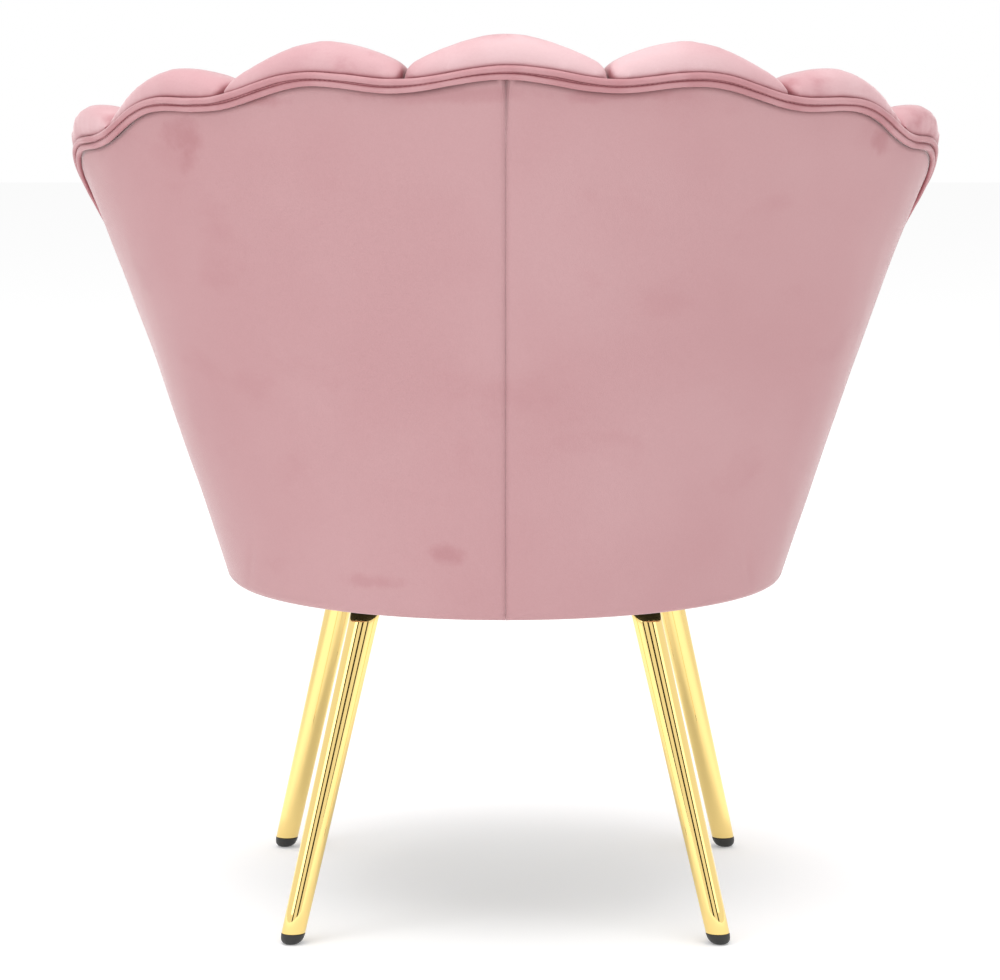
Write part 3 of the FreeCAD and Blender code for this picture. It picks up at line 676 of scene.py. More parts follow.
def pad_ring(place):
    """Closed outline of the padding in one slice, a little thinner than when it is stuffed."""
    past = max(0.0, (place - FRAME_END) / (ROLL_END - FRAME_END))
    round_front = max(0.0, place - WALL_END) / (ROLL_END - WALL_END)
    full = crown(place)
    inside = min(place, WALL_END)
    top = rim(inside) - ROLL_FALL * past ** 2
    lip = top + lap(inside) - 0.0008
    front = PAD_FRONT + ROLL_EDGE_BACK * round_front ** 2
    edge = -0.001 + min(1.0, 4 * past) * (front + 0.001)
    thick = PAD_SEAM + (PAD_FULL - PAD_SEAM) * full - START_THIN
    wing = WING_CREST * min(1.0, 2 * max(0.0, place - 2.5))
    rise = PAD_CREST_SEAM + (PAD_CREST - PAD_CREST_SEAM + wing) * full - START_THIN
    crest = max(top + LAP + rise - ROLL_CREST_FALL * past, lip + ROLL_LEAST_RISE)
    face = PAD_BACK + thick - ROLL_FACE_BACK * past ** 2
    back = front if past > 0 else PAD_BACK
    middle = CREST_DEPTH * face
    shoulder = top - SHOULDER_DROP
    path = [(lip, front), (lip, edge),
            (lip + NOSE_UP * (crest - lip), NOSE_IN * middle, "arc"), (crest, middle),
            (crest - SHOULDER_DOWN * (crest - shoulder), middle + SHOULDER_IN * (face - middle), "arc"),
            (shoulder, face - 0.001), (PAD_BELLY, face + 0.001, "arc"),
            (WAIST, PAD_BACK + WAIST_SHARE * thick - ROLL_WAIST_BACK * past),
            (PAD_BOTTOM, PAD_BACK + FOOT_SHARE * thick - ROLL_WAIST_BACK * past),
            (PAD_BOTTOM, back), (top - LAP, back), (top - LAP, front)]
    spots = along(path, 12, [2] * len(path))
    return [wall_point(place, height, depth) for height, depth in spots]


def seam_spacing(first, last, count):
    """Places across a channel, closer together towards its two seams."""
    middle, half = (first + last) / 2, (last - first) / 2
    return [middle - half * math.cos(math.pi * i / (count - 1)) for i in range(count)]


def channel_form(number):
    """Thin starting form of a channel: 0 in the middle of the back, 3 on the wing."""
    first = number - CHANNEL_REACH
    last = ROLL_END if number == 3 else number + CHANNEL_REACH
    return skin("channel", [pad_ring(p) for p in seam_spacing(first, last, PAD_SLICES)], CHANNEL_VELVET)


# %% [markdown]
# The stuffing itself: the form is remeshed into even small faces, its sewn edges are pinned,
# and pressure inside pushes the rest out. A cap on the travel keeps every channel inside the
# size that its solid has in the frame.

# %% Stuff a form by pressure
STUFF_FRAMES = 20


def even_faces(piece, size):
    """Replace a piece's mesh by one of even faces of about that size."""
    remesh = piece.modifiers.new("even", "REMESH")
    remesh.mode = "VOXEL"
    remesh.voxel_size = size
    keep_evaluated(piece)


def keep_evaluated(piece):
    """Replace a piece's mesh by what its modifiers make of it."""
    seen = piece.evaluated_get(bpy.context.evaluated_depsgraph_get())
    mesh = bpy.data.meshes.new_from_object(seen)
    material = piece.data.materials[0]
    piece.modifiers.clear()
    piece.data = mesh
    mesh.materials.clear()
    mesh.materials.append(material)
    mesh.polygons.foreach_set("use_smooth", [True] * len(mesh.polygons))


def relax(piece, rounds, held):
    """Average each free vertex with its neighbours."""
    work = bmesh.new()
    work.from_mesh(piece.data)
    free = [v for v in work.verts if held(v.co) < 0.5]
    for _ in range(rounds):
        bmesh.ops.smooth_vert(work, verts=free, factor=0.5,
                              use_axis_x=True, use_axis_y=True, use_axis_z=True)
    work.to_mesh(piece.data)
    work.free()


def stuff(piece, size, pressure, travel, held):
    """Blow a closed form up; held(spot) is 1 where it is sewn down, and no point moves beyond travel."""
    even_faces(piece, size)
    start = [v.co.copy() for v in piece.data.vertices]
    pins = piece.vertex_groups.new(name="sewn")
    for i, spot in enumerate(start):
        pins.add([i], held(spot), "REPLACE")
    cloth = piece.modifiers.new("stuffing", "CLOTH")
    cloth.settings.quality = 4
    cloth.settings.mass = 0.2
    cloth.settings.use_pressure = True
    cloth.settings.uniform_pressure_force = pressure
    cloth.settings.tension_stiffness = 12
    cloth.settings.compression_stiffness = 12
    cloth.settings.bending_stiffness = 0.8
    cloth.settings.vertex_group_mass = "sewn"
    cloth.settings.effector_weights.gravity = 0
    cloth.point_cache.frame_end = STUFF_FRAMES
    for frame_number in range(1, STUFF_FRAMES + 1):
        SCENE.frame_set(frame_number)
    seen = piece.evaluated_get(bpy.context.evaluated_depsgraph_get())
    moved = [v.co.copy() for v in seen.data.vertices]
    piece.modifiers.clear()
    SCENE.frame_set(1)
    for vertex, old, new in zip(piece.data.vertices, start, moved):
        step = new - old
        far = step.length
        vertex.co = old + step * (min(1.0, travel / far) if far > 0 else 0)
    piece.vertex_groups.clear()


def finer(piece, levels=1):
    """Smooth subdivision, the same in every view and in the final picture."""
    smoothing = piece.modifiers.new("smooth", "SUBSURF")
    smoothing.levels = levels
    smoothing.render_levels = levels


# %% [markdown]
# On the real chair each channel is sewn along both seams, glued at the back and tacked at its foot
# and at the welt. A test of place and depth finds those edges on any channel, so one half of the
# chair is stuffed and the other half is its mirror image.

# %% Stuff the channels
PAD_FACE_SIZE = 0.0052
SEWN_FROM = 0.47                 # cloth this far from a channel's middle is sewn down
STUFF_PRESSURE = 4.0


def place_of(spot, height):
    """Place along the wall, counted in channels, of a spot inside it."""
    low, high = -0.2, 3.9
    for _ in range(14):
        middle = (low + high) / 2
        at = wall_point(middle, height, 0.0)
        facing = middle * (PITCH_LOW + PITCH_RIM) / 2
        side = (spot.x - at.x) * math.cos(facing) - (spot.y - at.y) * math.sin(facing)
        if side > 0:
            low = middle
        else:
            high = middle
    return (low + high) / 2


def depth_of(spot, place):
    """Depth of a spot inwards from the outer face of the wall."""
    at = wall_point(place, spot.z, 0.0)
    facing = place * (PITCH_LOW + PITCH_RIM) / 2
    return -(spot.x - at.x) * math.sin(facing) - (spot.y - at.y) * math.cos(facing)


def channel_held(number):
    """Tells where a channel is sewn or glued: in its seams, on its back, at its foot and at the welt."""
    def held(spot):
        place = place_of(spot, min(max(spot.z, SHELL_BOTTOM), RIM_HEIGHT))
        depth = depth_of(spot, place)
        top = rim(min(place, WALL_END))
        near_seam = place < number - SEWN_FROM or (number < 3 and place > number + SEWN_FROM)
        on_back = depth < PAD_BACK + 0.003 and spot.z < top
        on_welt = depth < 0.012 and spot.z < top + lap(min(place, WALL_END)) + 0.003
        return 1.0 if near_seam or on_back or on_welt or spot.z < PAD_BOTTOM + 0.005 else 0.0
    return held


def make_channel(number):
    piece = channel_form(number)
    held = channel_held(number)
    stuff(piece, PAD_FACE_SIZE, STUFF_PRESSURE, START_THIN + 0.001, held)
    relax(piece, 3, lambda spot: 0.0)
    finer(piece)
    return piece


CHANNEL_NAMES = ["centre", "inner", "middle", "outer"]
channels = {}
for number, word in enumerate(CHANNEL_NAMES):
    pad = make_channel(number)
    if number == 0:
        pad.name = "channel_centre"
        channels["channel_pad_centre"] = pad
    else:
        pad.name = "channel_left_" + word
        channels["channel_pad_left_" + word] = pad
        channels["channel_pad_right_" + word] = mirrored(pad, "channel_right_" + word)
print("channels:", len(channels), "of about", len(channels["channel_pad_centre"].data.polygons), "faces")

# %% [markdown]
# ## Seat
# The seat is one tight cushion in the shape of a short T: narrow between the wings, full width
# in front of them. It is crowned, its side bulges a little under the edge, and it is narrowest
# where it meets its frame. The same stuffing gives it its tension.

# %% Seat
SEAT_LEVELS = [(0.3784, 0.004, 1), (0.387, 0.001, 1), (0.399, -0.002, 1), (0.414, -0.002, 1),
               (0.424, 0.001, 1), (0.430, 0.005, 1), (0.4345, 0.005, 0.97), (0.438, 0.005, 0.91),
               (0.4405, 0.005, 0.80), (0.442, 0.005, 0.60), (0.443, 0.005, 0.30)]
SEAT_MIDDLE_Y = -0.080
SEAT_BACK = 0.0675
SEAT_BACK_LEAN = 0.28
SEAT_NECK = [(3.57, 0.001), (3.74, -0.009), (3.81, -0.046)]
SEAT_SHOULDER = 0.83
SEAT_CORNER = 0.006
SEAT_THIN = 0.002
SEAT_FACE_SIZE = 0.0065


def smooth_loop(points, per_span):
    """Closed Catmull-Rom curve through points."""
    count = len(points)
    spots = []
    for i in range(count):
        a, b, c, d = (points[(i + k) % count] for k in (-1, 0, 1, 2))
        for k in range(per_span):
            t = k / per_span
            spots.append(0.5 * (2 * b + (c - a) * t + (2 * a - 5 * b + 4 * c - d) * t * t
                                + (3 * b - a - 3 * c + d) * t ** 3))
    return spots


def seat_outline(height, side, part_left):
    """Level outline of the seat."""
    inset = SEAT_THIN
    back_depth = SEAT_BACK + SEAT_BACK_LEAN * (height - PAD_BOTTOM) + max(side, 0) + inset
    ahead = inset / CHANNEL_WIDTH
    end = SEAT_SHOULDER - ahead
    back = [wall_point(p, height, back_depth) for p in spread(-3.3, 3.3, 23)]
    left = [wall_point(p + ahead, height, back_depth + more) for p, more in SEAT_NECK]
    right = [Vector((-p.x, p.y, p.z)) for p in reversed(left)]
    front = []
    for p in spread(end, -end, 13):
        corner = SEAT_CORNER * (abs(p) / end) ** 12
        front.append(band_point(p, height, side + inset + corner))
    middle = Vector((0, SEAT_MIDDLE_Y, height))
    return smooth_loop([middle + (p - middle) * part_left for p in back + left + front + right], 4)


def seat_held(spot):
    return 1.0 if spot.z < 0.384 else 0.0


seat = skin("seat", [seat_outline(*level) for level in SEAT_LEVELS], SEAT_VELVET)
stuff(seat, SEAT_FACE_SIZE, STUFF_PRESSURE, 0.0035, seat_held)
relax(seat, 3, lambda spot: 0.0)
finer(seat)
print("seat:", len(seat.data.polygons), "faces")

# %% [markdown]
# ## Double welt
# The welt hides the staples of the outside cover: one strip of velvet is sewn round two cords
# side by side, with a line of small stitches in the groove between them. Geometry Nodes sweep a
# round section along the rim's line. A noise turns the line slightly, because a welt is glued
# down by hand. The same line carries the stitches.

# %% The line of the welt
CORD_RADIUS = 0.0028
CORD_APART = 0.0062
CORD_OUT = 0.0010


def wall_normal(place, height):
    """Outward normal of the shell's outer face."""
    step = 0.01
    ahead = wall_point(place + step, height, 0)
    behind = wall_point(place - step, height, 0)
    climb = wall_point(place, height + 0.01, 0) - wall_point(place, height, 0)
    return climb.cross(ahead - behind).normalized()


def rim_track():
    """Places and heights along the edge of the wall, from the foot of one wing to the other's."""
    side = [(p, rim(p)) for p in spread(0, TIP_START, 81)]
    for angle in spread(6, 78, 13):
        place = TIP_START + (WALL_END - TIP_START) * math.sin(math.radians(angle))
        side.append((place, rim(place)))
    side += [(WALL_END, h) for h in spread(rim(WALL_END) - 0.012, SHELL_BOTTOM + 0.004, 60)]
    return [(-p, h) for p, h in reversed(side[1:])] + side


def welt_line(shift, out, wobble, seed):
    """Points along the welt: set off sideways by shift, out of the wall by out."""
    track = rim_track()
    base = [wall_point(p, h, 0) for p, h in track]
    spots = []
    for i, spot in enumerate(base):
        run = base[min(i + 1, len(base) - 1)] - base[max(i - 1, 0)]
        normal = wall_normal(*track[i])
        aside = run.cross(normal).normalized()
        drift = wobble * wander(i * 0.11, seed, 0.5) + 0.4 * wobble * wander(i * 0.37, seed, 4.5)
        lift = 0.5 * wobble * wander(i * 0.29, seed, 8.5)
        spots.append(spot + aside * (shift + drift) + normal * (out + lift))
    return spots


# %% [markdown]
# A cord could be a curve with a bevel, and stitches could be placed one by one. Two node trees do
# both for any line: one sweeps a section along it, the other sets copies at even steps. The result
# is kept as a plain mesh, so the piece can be joined, measured and exported like the others.

# %% Sweep and stitch with Geometry Nodes
def line_object(name, spots):
    """Mesh of single edges along a row of points."""
    mesh = bpy.data.meshes.new(name)
    mesh.from_pydata(spots, [(i, i + 1) for i in range(len(spots) - 1)], [])
    made = bpy.data.objects.new(name, mesh)
    SCENE.collection.objects.link(made)
    return made


def geometry_tree(name, inputs):
    tree = bpy.data.node_groups.new(name, "GeometryNodeTree")
    tree.interface.new_socket("Geometry", in_out="INPUT", socket_type="NodeSocketGeometry")
    tree.interface.new_socket("Geometry", in_out="OUTPUT", socket_type="NodeSocketGeometry")
    for label, kind, value in inputs:
        socket = tree.interface.new_socket(label, in_out="INPUT", socket_type=kind)
        if value is not None:
            socket.default_value = value
    return tree, tree.nodes.new("NodeGroupInput"), tree.nodes.new("NodeGroupOutput")


def sweep_tree():
    """Round cord along a line, with a section that swells and thins a little."""
    tree, given, result = geometry_tree("cord_along_line",
                                        [("Radius", "NodeSocketFloat", 0.0028),
                                         ("Sides", "NodeSocketInt", 20),
                                         ("Swell", "NodeSocketFloat", 0.04),
                                         ("Seed", "NodeSocketFloat", 0.0),
                                         ("Finish", "NodeSocketMaterial", None)])
    curve = node(tree, "GeometryNodeMeshToCurve", {"Mesh": given.outputs["Geometry"]})
    place = node(tree, "GeometryNodeInputPosition")
    pattern = node(tree, "ShaderNodeTexNoise", {"Vector": place.outputs[0], "W": given.outputs["Seed"]},
                   noise_dimensions="4D")
    pattern.inputs["Scale"].default_value = 34.0
    centred = node(tree, "ShaderNodeMath", {0: pattern.outputs["Fac"], 1: 0.5}, operation="SUBTRACT")
    swell = node(tree, "ShaderNodeMath", {0: centred.outputs[0], 1: given.outputs["Swell"]},
                 operation="MULTIPLY")
    size = node(tree, "ShaderNodeMath", {0: swell.outputs[0], 1: 1.0}, operation="ADD")
    section = node(tree, "GeometryNodeCurvePrimitiveCircle",
                   {"Resolution": given.outputs["Sides"], "Radius": given.outputs["Radius"]})
    swept = node(tree, "GeometryNodeCurveToMesh",
                 {"Curve": curve.outputs[0], "Profile Curve": section.outputs[0],
                  "Scale": size.outputs[0], "Fill Caps": True})
    plain = node(tree, "GeometryNodeRealizeInstances", {"Geometry": swept.outputs[0]})
    dressed = node(tree, "GeometryNodeSetMaterial",
                   {"Geometry": plain.outputs[0], "Material": given.outputs["Finish"]})
    tree.links.new(dressed.outputs[0], result.inputs["Geometry"])
    return tree


def row_tree():
    """Copies of a small object at even steps along a line, turned to follow it."""
    tree, given, result = geometry_tree("row_along_line",
                                        [("Step", "NodeSocketFloat", 0.004),
                                         ("Copy", "NodeSocketObject", None),
                                         ("Lean", "NodeSocketFloat", 0.1),
                                         ("Seed", "NodeSocketInt", 1),
                                         ("Finish", "NodeSocketMaterial", None)])
    curve = node(tree, "GeometryNodeMeshToCurve", {"Mesh": given.outputs["Geometry"]})
    steps = node(tree, "GeometryNodeCurveToPoints",
                 {"Curve": curve.outputs[0], "Length": given.outputs["Step"]}, mode="LENGTH")
    copy = node(tree, "GeometryNodeObjectInfo", {"Object": given.outputs["Copy"]})
    least = node(tree, "ShaderNodeMath", {0: given.outputs["Lean"], 1: -1.0}, operation="MULTIPLY")
    turn = node(tree, "FunctionNodeRandomValue", {"Seed": given.outputs["Seed"]}, data_type="FLOAT")
    tree.links.new(least.outputs[0], turn.inputs[2])
    tree.links.new(given.outputs["Lean"], turn.inputs[3])
    placed = node(tree, "GeometryNodeInstanceOnPoints",
                  {"Points": steps.outputs["Points"], "Instance": copy.outputs["Geometry"],
                   "Rotation": steps.outputs["Rotation"]})
    twist = node(tree, "ShaderNodeCombineXYZ", {"Z": turn.outputs[1]})
    turned = node(tree, "GeometryNodeRotateInstances",
                  {"Instances": placed.outputs[0], "Rotation": twist.outputs[0], "Local Space": True})
    plain = node(tree, "GeometryNodeRealizeInstances", {"Geometry": turned.outputs[0]})
    dressed = node(tree, "GeometryNodeSetMaterial",
                   {"Geometry": plain.outputs[0], "Material": given.outputs["Finish"]})
    tree.links.new(dressed.outputs[0], result.inputs["Geometry"])
    return tree


def grow(piece, tree, **values):
    """Run a Geometry Nodes tree on a piece and keep the result as its mesh."""
    modifier = piece.modifiers.new(tree.name, "NODES")
    modifier.node_group = tree
    for item in tree.interface.items_tree:
        if item.in_out == "INPUT" and item.name in values:
            modifier[item.identifier] = values[item.name]
    bpy.context.view_layer.update()
    seen = piece.evaluated_get(bpy.context.evaluated_depsgraph_get())
    mesh = bpy.data.meshes.new_from_object(seen)
    piece.modifiers.clear()
    made = finish_mesh(piece.name + "_grown", mesh, values["Finish"])
    name = piece.name
    bpy.data.objects.remove(piece)
    made.name = name
    return made


SWEEP = sweep_tree()
ROW = row_tree()


def welt_cord(name, shift, seed):
    line = line_object(name, welt_line(shift, CORD_OUT, 0.0004, seed))
    return grow(line, SWEEP, Radius=CORD_RADIUS, Sides=20, Swell=0.12, Seed=float(seed), Finish=WELT_VELVET)


welt_upper = welt_cord("welt_upper", CORD_APART / 2, 1)
welt_lower = welt_cord("welt_lower", -CORD_APART / 2, 2)
groove_line = line_object("welt_groove", welt_line(0, 0.0004, 0.0002, 3))
welt_groove = grow(groove_line, SWEEP, Radius=0.0016, Sides=8, Swell=0.0, Seed=0.0, Finish=WELT_VELVET)
print("welt:", len(welt_upper.data.polygons), "faces a cord")

# %% [markdown]
# A line of small stitches holds the strip between the two cords. Each is a rod of a few faces, and
# the row tree leans every one a little, as sewing by machine over a waved edge does.

# %% Stitches in the welt's groove
STITCH_STEP = 0.0042
STITCH_LENGTH = 0.0026


def small_rod(name, length, radius, sides):
    """Short rounded rod along Z: the stitch that a row repeats."""
    rings = []
    for share, width in ((-0.5, 0.35), (-0.38, 0.9), (0.38, 0.9), (0.5, 0.35)):
        rings.append([Vector((radius * width * math.cos(2 * math.pi * k / sides),
                              radius * width * math.sin(2 * math.pi * k / sides),
                              length * share)) for k in range(sides)])
    return skin(name, rings, THREAD)


stitch = small_rod("stitch", STITCH_LENGTH, 0.00035, 6)
stitch_line = line_object("welt_stitches", welt_line(0, 0.0021, 0.0001, 3))
welt_stitches = grow(stitch_line, ROW, Step=STITCH_STEP, Copy=stitch, Lean=0.12, Seed=4, Finish=THREAD)
bpy.data.objects.remove(stitch)
print("stitches:", len(welt_stitches.data.polygons) // 20)

# %% [markdown]
# ## Legs
# The legs are tapered tubes plated to a mirror. They need a truly round, smooth section, since
# every flat shows in a reflection. The feet are black caps pushed up into them.

# %% Legs and caps
LEG_TOP = 0.2895
LEG_TOP_RADIUS = 0.0125
LEG_END_RADIUS = 0.010
TUBE_WALL = 0.0012
CAP_HEIGHT = 0.0095
LEG_SIDES = 96
LEGS = {
    "rear_left": ((0.183, 0.191), (0.1172, 0.1351)),
    "rear_right": ((-0.183, 0.191), (-0.1172, 0.1351)),
    "front_left": ((0.2065, -0.1816), (0.141, -0.165)),
    "front_right": ((-0.2065, -0.1816), (-0.141, -0.165)),
}


def leg_frame(side):
    """Foot, direction and length of a leg, and two directions across it."""
    foot = Vector((*LEGS[side][0], 0))
    top = Vector((*LEGS[side][1], LEG_TOP))
    up = (top - foot).normalized()
    across = up.cross(Vector((0, 1, 0))).normalized()
    return foot, up, (top - foot).length, across, up.cross(across)


def level_ring(side, height, inset):
    """Ring of the leg's taper, cut level at a height."""
    foot, up, length, across, other = leg_frame(side)
    ring = []
    for k in range(LEG_SIDES):
        turn = 2 * math.pi * k / LEG_SIDES
        outwards = across * math.cos(turn) + other * math.sin(turn)
        distance = height / up.z
        for _ in range(4):
            radius = LEG_END_RADIUS + (LEG_TOP_RADIUS - LEG_END_RADIUS) * distance / length - inset
            distance = (height - outwards.z * radius) / up.z
        ring.append(foot + up * distance + outwards * radius)
    return ring


def leg_tube(side):
    """Tube wall as one closed skin: up the outside and down the inside."""
    low = CAP_HEIGHT
    outer = [(low + 0.0002, 0.0002), (low + 0.0006, 0.0)]
    outer += [(h, 0.0) for h in spread(low + 0.02, LEG_TOP - 0.02, 8)]
    outer += [(LEG_TOP, 0.0), (LEG_TOP, TUBE_WALL), (low + 0.01, TUBE_WALL), (low + 0.0002, TUBE_WALL)]
    return skin("tube_" + side, [level_ring(side, h, inset) for h, inset in outer], GOLD, ends="join")


def foot_cap(side):
    """Cap with a domed foot, a small collar under the tube and a spigot up inside it."""
    dome = [(0.0, 0.0068), (0.0004, 0.0052), (0.0012, 0.0034), (0.0024, 0.0020), (0.0040, 0.0010),
            (0.0060, 0.0004), (0.0082, 0.0001), (0.0090, 0.0), (0.0094, 0.0003), (0.0094, 0.0014),
            (0.0230, 0.0015), (0.0235, 0.0024)]
    return skin("cap_" + side, [level_ring(side, h, inset) for h, inset in dome], BLACK_PLASTIC)


tubes = {side: leg_tube(side) for side in LEGS}
caps = {side: foot_cap(side) for side in LEGS}
print("legs:", len(tubes), "tubes and", len(caps), "caps")

# %% [markdown]
# ## Underside
# A black fleece closes the base. It is stapled over the folded velvet, hangs a hair between the
# staples, and is cut out round each leg.

# %% Dust cover
DUST_EDGE = 0.014
DUST_LOW = SHELL_BOTTOM - 0.0008
DUST_RINGS = 26
LEG_OPENING = 0.0150


def dust_outline(count):
    """Level outline of the base, set in to the dust cover's edge."""
    back = [wall_point(p, SHELL_BOTTOM, DUST_EDGE) for p in spread(-WALL_END, WALL_END, count)]
    front = [band_point(p, SHELL_BOTTOM, DUST_EDGE) for p in spread(1, -1, count)]
    return back + front[1:-1]


def dust_sheet():
    """Round fleece as a fan of rings, with the faces at the legs left out."""
    edge = dust_outline(76)
    count = len(edge)
    middle = Vector((0, -0.02, DUST_LOW))
    points = []
    for r in range(1, DUST_RINGS + 1):
        share = r / DUST_RINGS
        for spot in edge:
            at = middle + (Vector((spot.x, spot.y, DUST_LOW)) - middle) * share
            sag = 0.0016 * (1 - share ** 6) + 0.0004 * wander(at.x * 30, at.y * 30, 6.0) * (1 - share)
            points.append(Vector((at.x, at.y, DUST_LOW + 0.0004 - sag)))
    points.append(middle - Vector((0, 0, 0.0012)))
    faces = [(k, (k + 1) % count, len(points) - 1) for k in range(count)]
    for r in range(DUST_RINGS - 1):
        for k in range(count):
            j = (k + 1) % count
            faces.append((r * count + k, (r + 1) * count + k, (r + 1) * count + j, r * count + j))
    mesh = bpy.data.meshes.new("dust_cover")
    mesh.from_pydata(points, [], faces)
    work = bmesh.new()
    work.from_mesh(mesh)
    for side in LEGS:
        foot, up, *_ = leg_frame(side)
        at = foot + up * (DUST_LOW / up.z)
        cut_leg_opening(work, at)
    bmesh.ops.recalc_face_normals(work, faces=work.faces)
    area = sum(face.calc_area() for face in work.faces)
    work.to_mesh(mesh)
    work.free()
    return mesh, area


def cut_leg_opening(work, at):
    """Fine faces round a leg, then take out those that lie in its opening."""
    for _ in range(2):
        near = [e for e in work.edges
                if ((e.verts[0].co + e.verts[1].co) / 2 - at).length < LEG_OPENING * 1.9]
        bmesh.ops.subdivide_edges(work, edges=near, cuts=1, use_grid_fill=True)
    gone = [f for f in work.faces if (f.calc_center_median() - at).xy.length < LEG_OPENING]
    bmesh.ops.delete(work, geom=gone, context="FACES")


dust_mesh, dust_area = dust_sheet()
dust_cover = bpy.data.objects.new("fleece_under", dust_mesh)
dust_mesh.materials.append(LINING)
SCENE.collection.objects.link(dust_cover)
print("dust cover: %.4f square metres" % dust_area)

# %% [markdown]
# Flat zinc staples hold the fleece every 27 mm. The row tree that set the stitches sets them too.

# %% Staples round the dust cover
def staple_form():
    """Crown of a staple: a flat wire 10 mm long, lying along Z."""
    rings = []
    for z in (-0.005, -0.0047, 0.0047, 0.005):
        width = 0.00045 if abs(z) < 0.0049 else 0.00030
        height = 0.00025 if abs(z) < 0.0049 else 0.00015
        rings.append([Vector((width, height, z)), Vector((-width, height, z)),
                      Vector((-width, -height, z)), Vector((width, -height, z))])
    return skin("staple", rings, ZINC)


def staple_line():
    back = [wall_point(p, SHELL_BOTTOM, DUST_EDGE + 0.005) for p in spread(-WALL_END, WALL_END, 60)]
    front = [band_point(p, SHELL_BOTTOM, DUST_EDGE + 0.005) for p in spread(1, -1, 60)]
    return [Vector((p.x, p.y, DUST_LOW - 0.0002)) for p in back + front[1:]]


staple = staple_form()
staples = grow(line_object("staples", staple_line()), ROW,
               Step=0.027, Copy=staple, Lean=0.08, Seed=7, Finish=ZINC)
bpy.data.objects.remove(staple)
print("staples:", len(staples.data.polygons) // 14)

# %% [markdown]
# ## What stands for what
# Each finished piece rides on the chair's one body and is shown instead of its plain solid. The
# timber, boards, webbing and screws inside keep their own solids.

# %% Tie the pieces to the frame
soft = {
    "outer_cover_left": outer_cover_left, "outer_cover_right": outer_cover_right,
    "front_band_cover": front_band, **channels,
}
for node_name, piece in soft.items():
    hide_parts(node_name)
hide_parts("seat_foam", "seat_cover")
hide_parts("welt_cord_upper")
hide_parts("welt_cord_lower")
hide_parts("dust_cover")
for side in LEGS:
    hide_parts("leg_tube_" + side)
    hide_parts("foot_cap_" + side)
everything = [*soft.values(), seat, welt_upper, welt_lower, welt_groove, welt_stitches, dust_cover, staples,
              *tubes.values(), *caps.values()]
for piece in everything:
    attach(piece, "root")
print("pieces:", len(everything))

# %% [markdown]
# ## Studio
# The chair stands on a white floor in soft light. A mirror shows its surroundings, so the gold
# legs get three dark cards round the camera to reflect: they draw the dark stripes down the tubes.

# %% Floor, backdrop and lights
def studio_material(name, colour, glow=0.0):
    made, _, shader = new_material(name, Roughness=0.9, Specular_IOR_Level=0.0)
    shader.inputs["Base Color"].default_value = (*colour, 1)
    if glow:
        shader.inputs["Emission Color"].default_value = (*colour, 1)
        shader.inputs["Emission Strength"].default_value = glow
    return made


def panel(name, corners, material):
    mesh = bpy.data.meshes.new(name)
    mesh.from_pydata(corners, [], [tuple(range(len(corners)))])
    mesh.materials.append(material)
    made = bpy.data.objects.new(name, mesh)
    SCENE.collection.objects.link(made)
    return made


FLOOR_HALF = 9.0
floor = panel("floor", [(-FLOOR_HALF, -FLOOR_HALF, 0), (FLOOR_HALF, -FLOOR_HALF, 0),
                        (FLOOR_HALF, FLOOR_HALF, 0), (-FLOOR_HALF, FLOOR_HALF, 0)],
              studio_material("white_floor", (0.93, 0.93, 0.93), glow=0.22))


def world_light(strength):
    """Even white surroundings; seen by the camera and in mirrors they are plain white."""
    world = bpy.data.worlds.new("studio")
    SCENE.world = world
    world.use_nodes = True
    tree = world.node_tree
    tree.nodes.clear()
    paths = node(tree, "ShaderNodeLightPath")
    seen = math_node(tree, "MAXIMUM", paths.outputs["Is Camera Ray"], paths.outputs["Is Glossy Ray"])
    seen = math_node(tree, "MAXIMUM", seen, paths.outputs["Is Transmission Ray"])
    soft_light = node(tree, "ShaderNodeBackground", {"Color": (1, 1, 1, 1), "Strength": strength})
    white = node(tree, "ShaderNodeBackground", {"Color": (1, 1, 1, 1), "Strength": 1.0})
    chosen = node(tree, "ShaderNodeMixShader", {0: seen, 1: soft_light.outputs[0], 2: white.outputs[0]})
    node(tree, "ShaderNodeOutputWorld", {"Surface": chosen.outputs[0]})


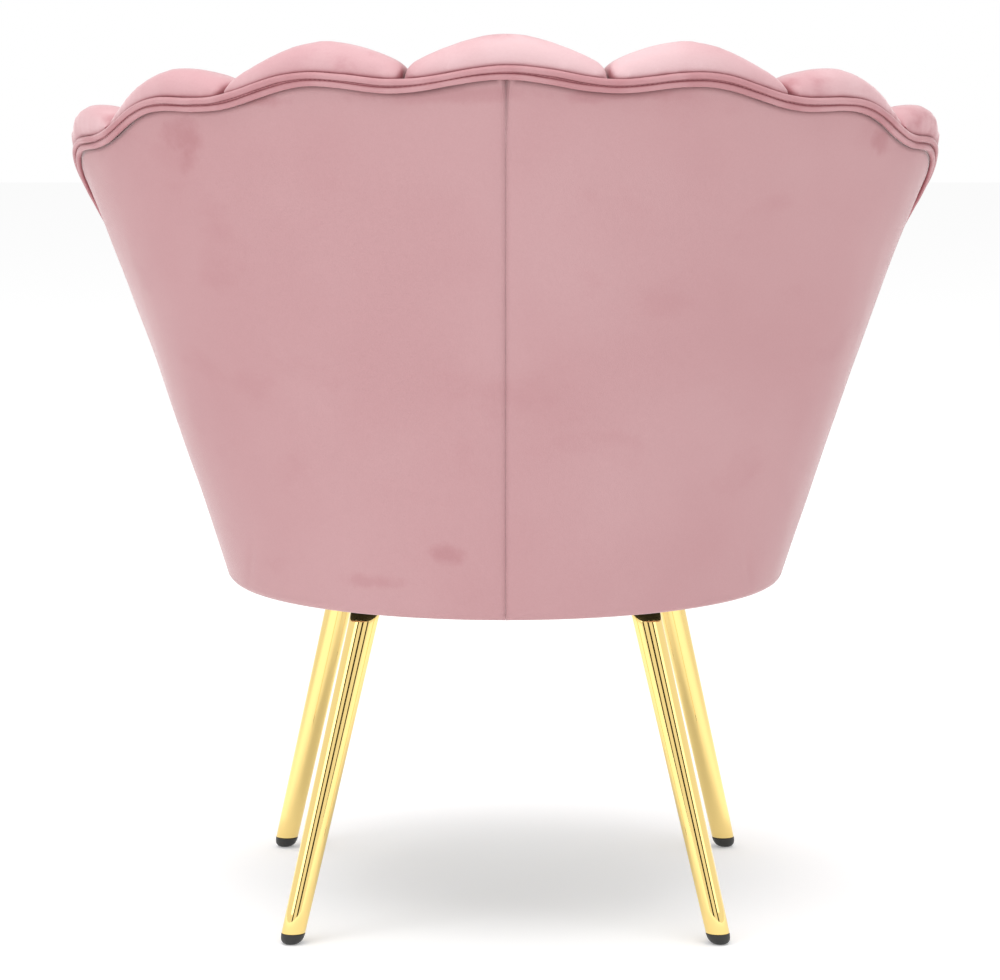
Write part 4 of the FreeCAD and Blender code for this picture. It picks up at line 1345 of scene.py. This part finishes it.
def soft_box(name, place, aim, size, power):
    lamp = bpy.data.lights.new(name, "AREA")
    lamp.shape = "RECTANGLE"
    lamp.size, lamp.size_y = size
    lamp.energy = power
    made = bpy.data.objects.new(name, lamp)
    made.location = place
    made.rotation_euler = (Vector(aim) - Vector(place)).to_track_quat("-Z", "Y").to_euler()
    SCENE.collection.objects.link(made)


world_light(0.80)
soft_box("top_light", (0.2, 0.6, 3.4), (0, 0, 0.4), (3.0, 3.0), 70)
soft_box("left_light", (2.6, 2.2, 1.6), (0, 0, 0.5), (1.6, 2.2), 14)
soft_box("right_light", (-2.8, 2.4, 1.8), (0, 0, 0.5), (1.6, 2.2), 9)


def dark_panel(name, aside, back, width, low, high):
    """Upright dark card that faces the chair; only the gold legs show it, as a stripe."""
    card = panel(name, [(aside - width / 2, back, low), (aside + width / 2, back, low),
                        (aside + width / 2, back, high), (aside - width / 2, back, high)],
                 studio_material(name, (0.03, 0.022, 0.01)))
    card.visible_camera = False
    card.visible_diffuse = False
    card.visible_shadow = False


dark_panel("card_behind_camera", 0.0, 5.2, 1.1, 0.0, 2.6)
dark_panel("card_left", 1.9, 2.6, 0.7, 0.0, 2.4)
dark_panel("card_right", -1.9, 2.6, 0.7, 0.0, 2.4)

# %% [markdown]
# A long lens from nearly four metres off, a little above the chair, looks at its back. Far cameras
# keep the near and far legs alike in size; the shift aside and the tilt centre the chair.

# %% Camera
CAMERA_BACK = 3.7605
CAMERA_HEIGHT = 0.9012
CAMERA_ASIDE = 0.0047
CAMERA_DOWN = 0.142
CAMERA_LENS = 154.6
camera_data = bpy.data.cameras.new("camera")
camera_data.lens = CAMERA_LENS
camera_data.sensor_width = 36.0
camera = bpy.data.objects.new("camera", camera_data)
camera.location = (CAMERA_ASIDE, CAMERA_BACK, CAMERA_HEIGHT)
camera.rotation_euler = (math.pi / 2 - CAMERA_DOWN, 0, math.pi)
SCENE.collection.objects.link(camera)
SCENE.camera = camera
SCENE.view_settings.view_transform = "Standard"
bpy.context.view_layer.update()
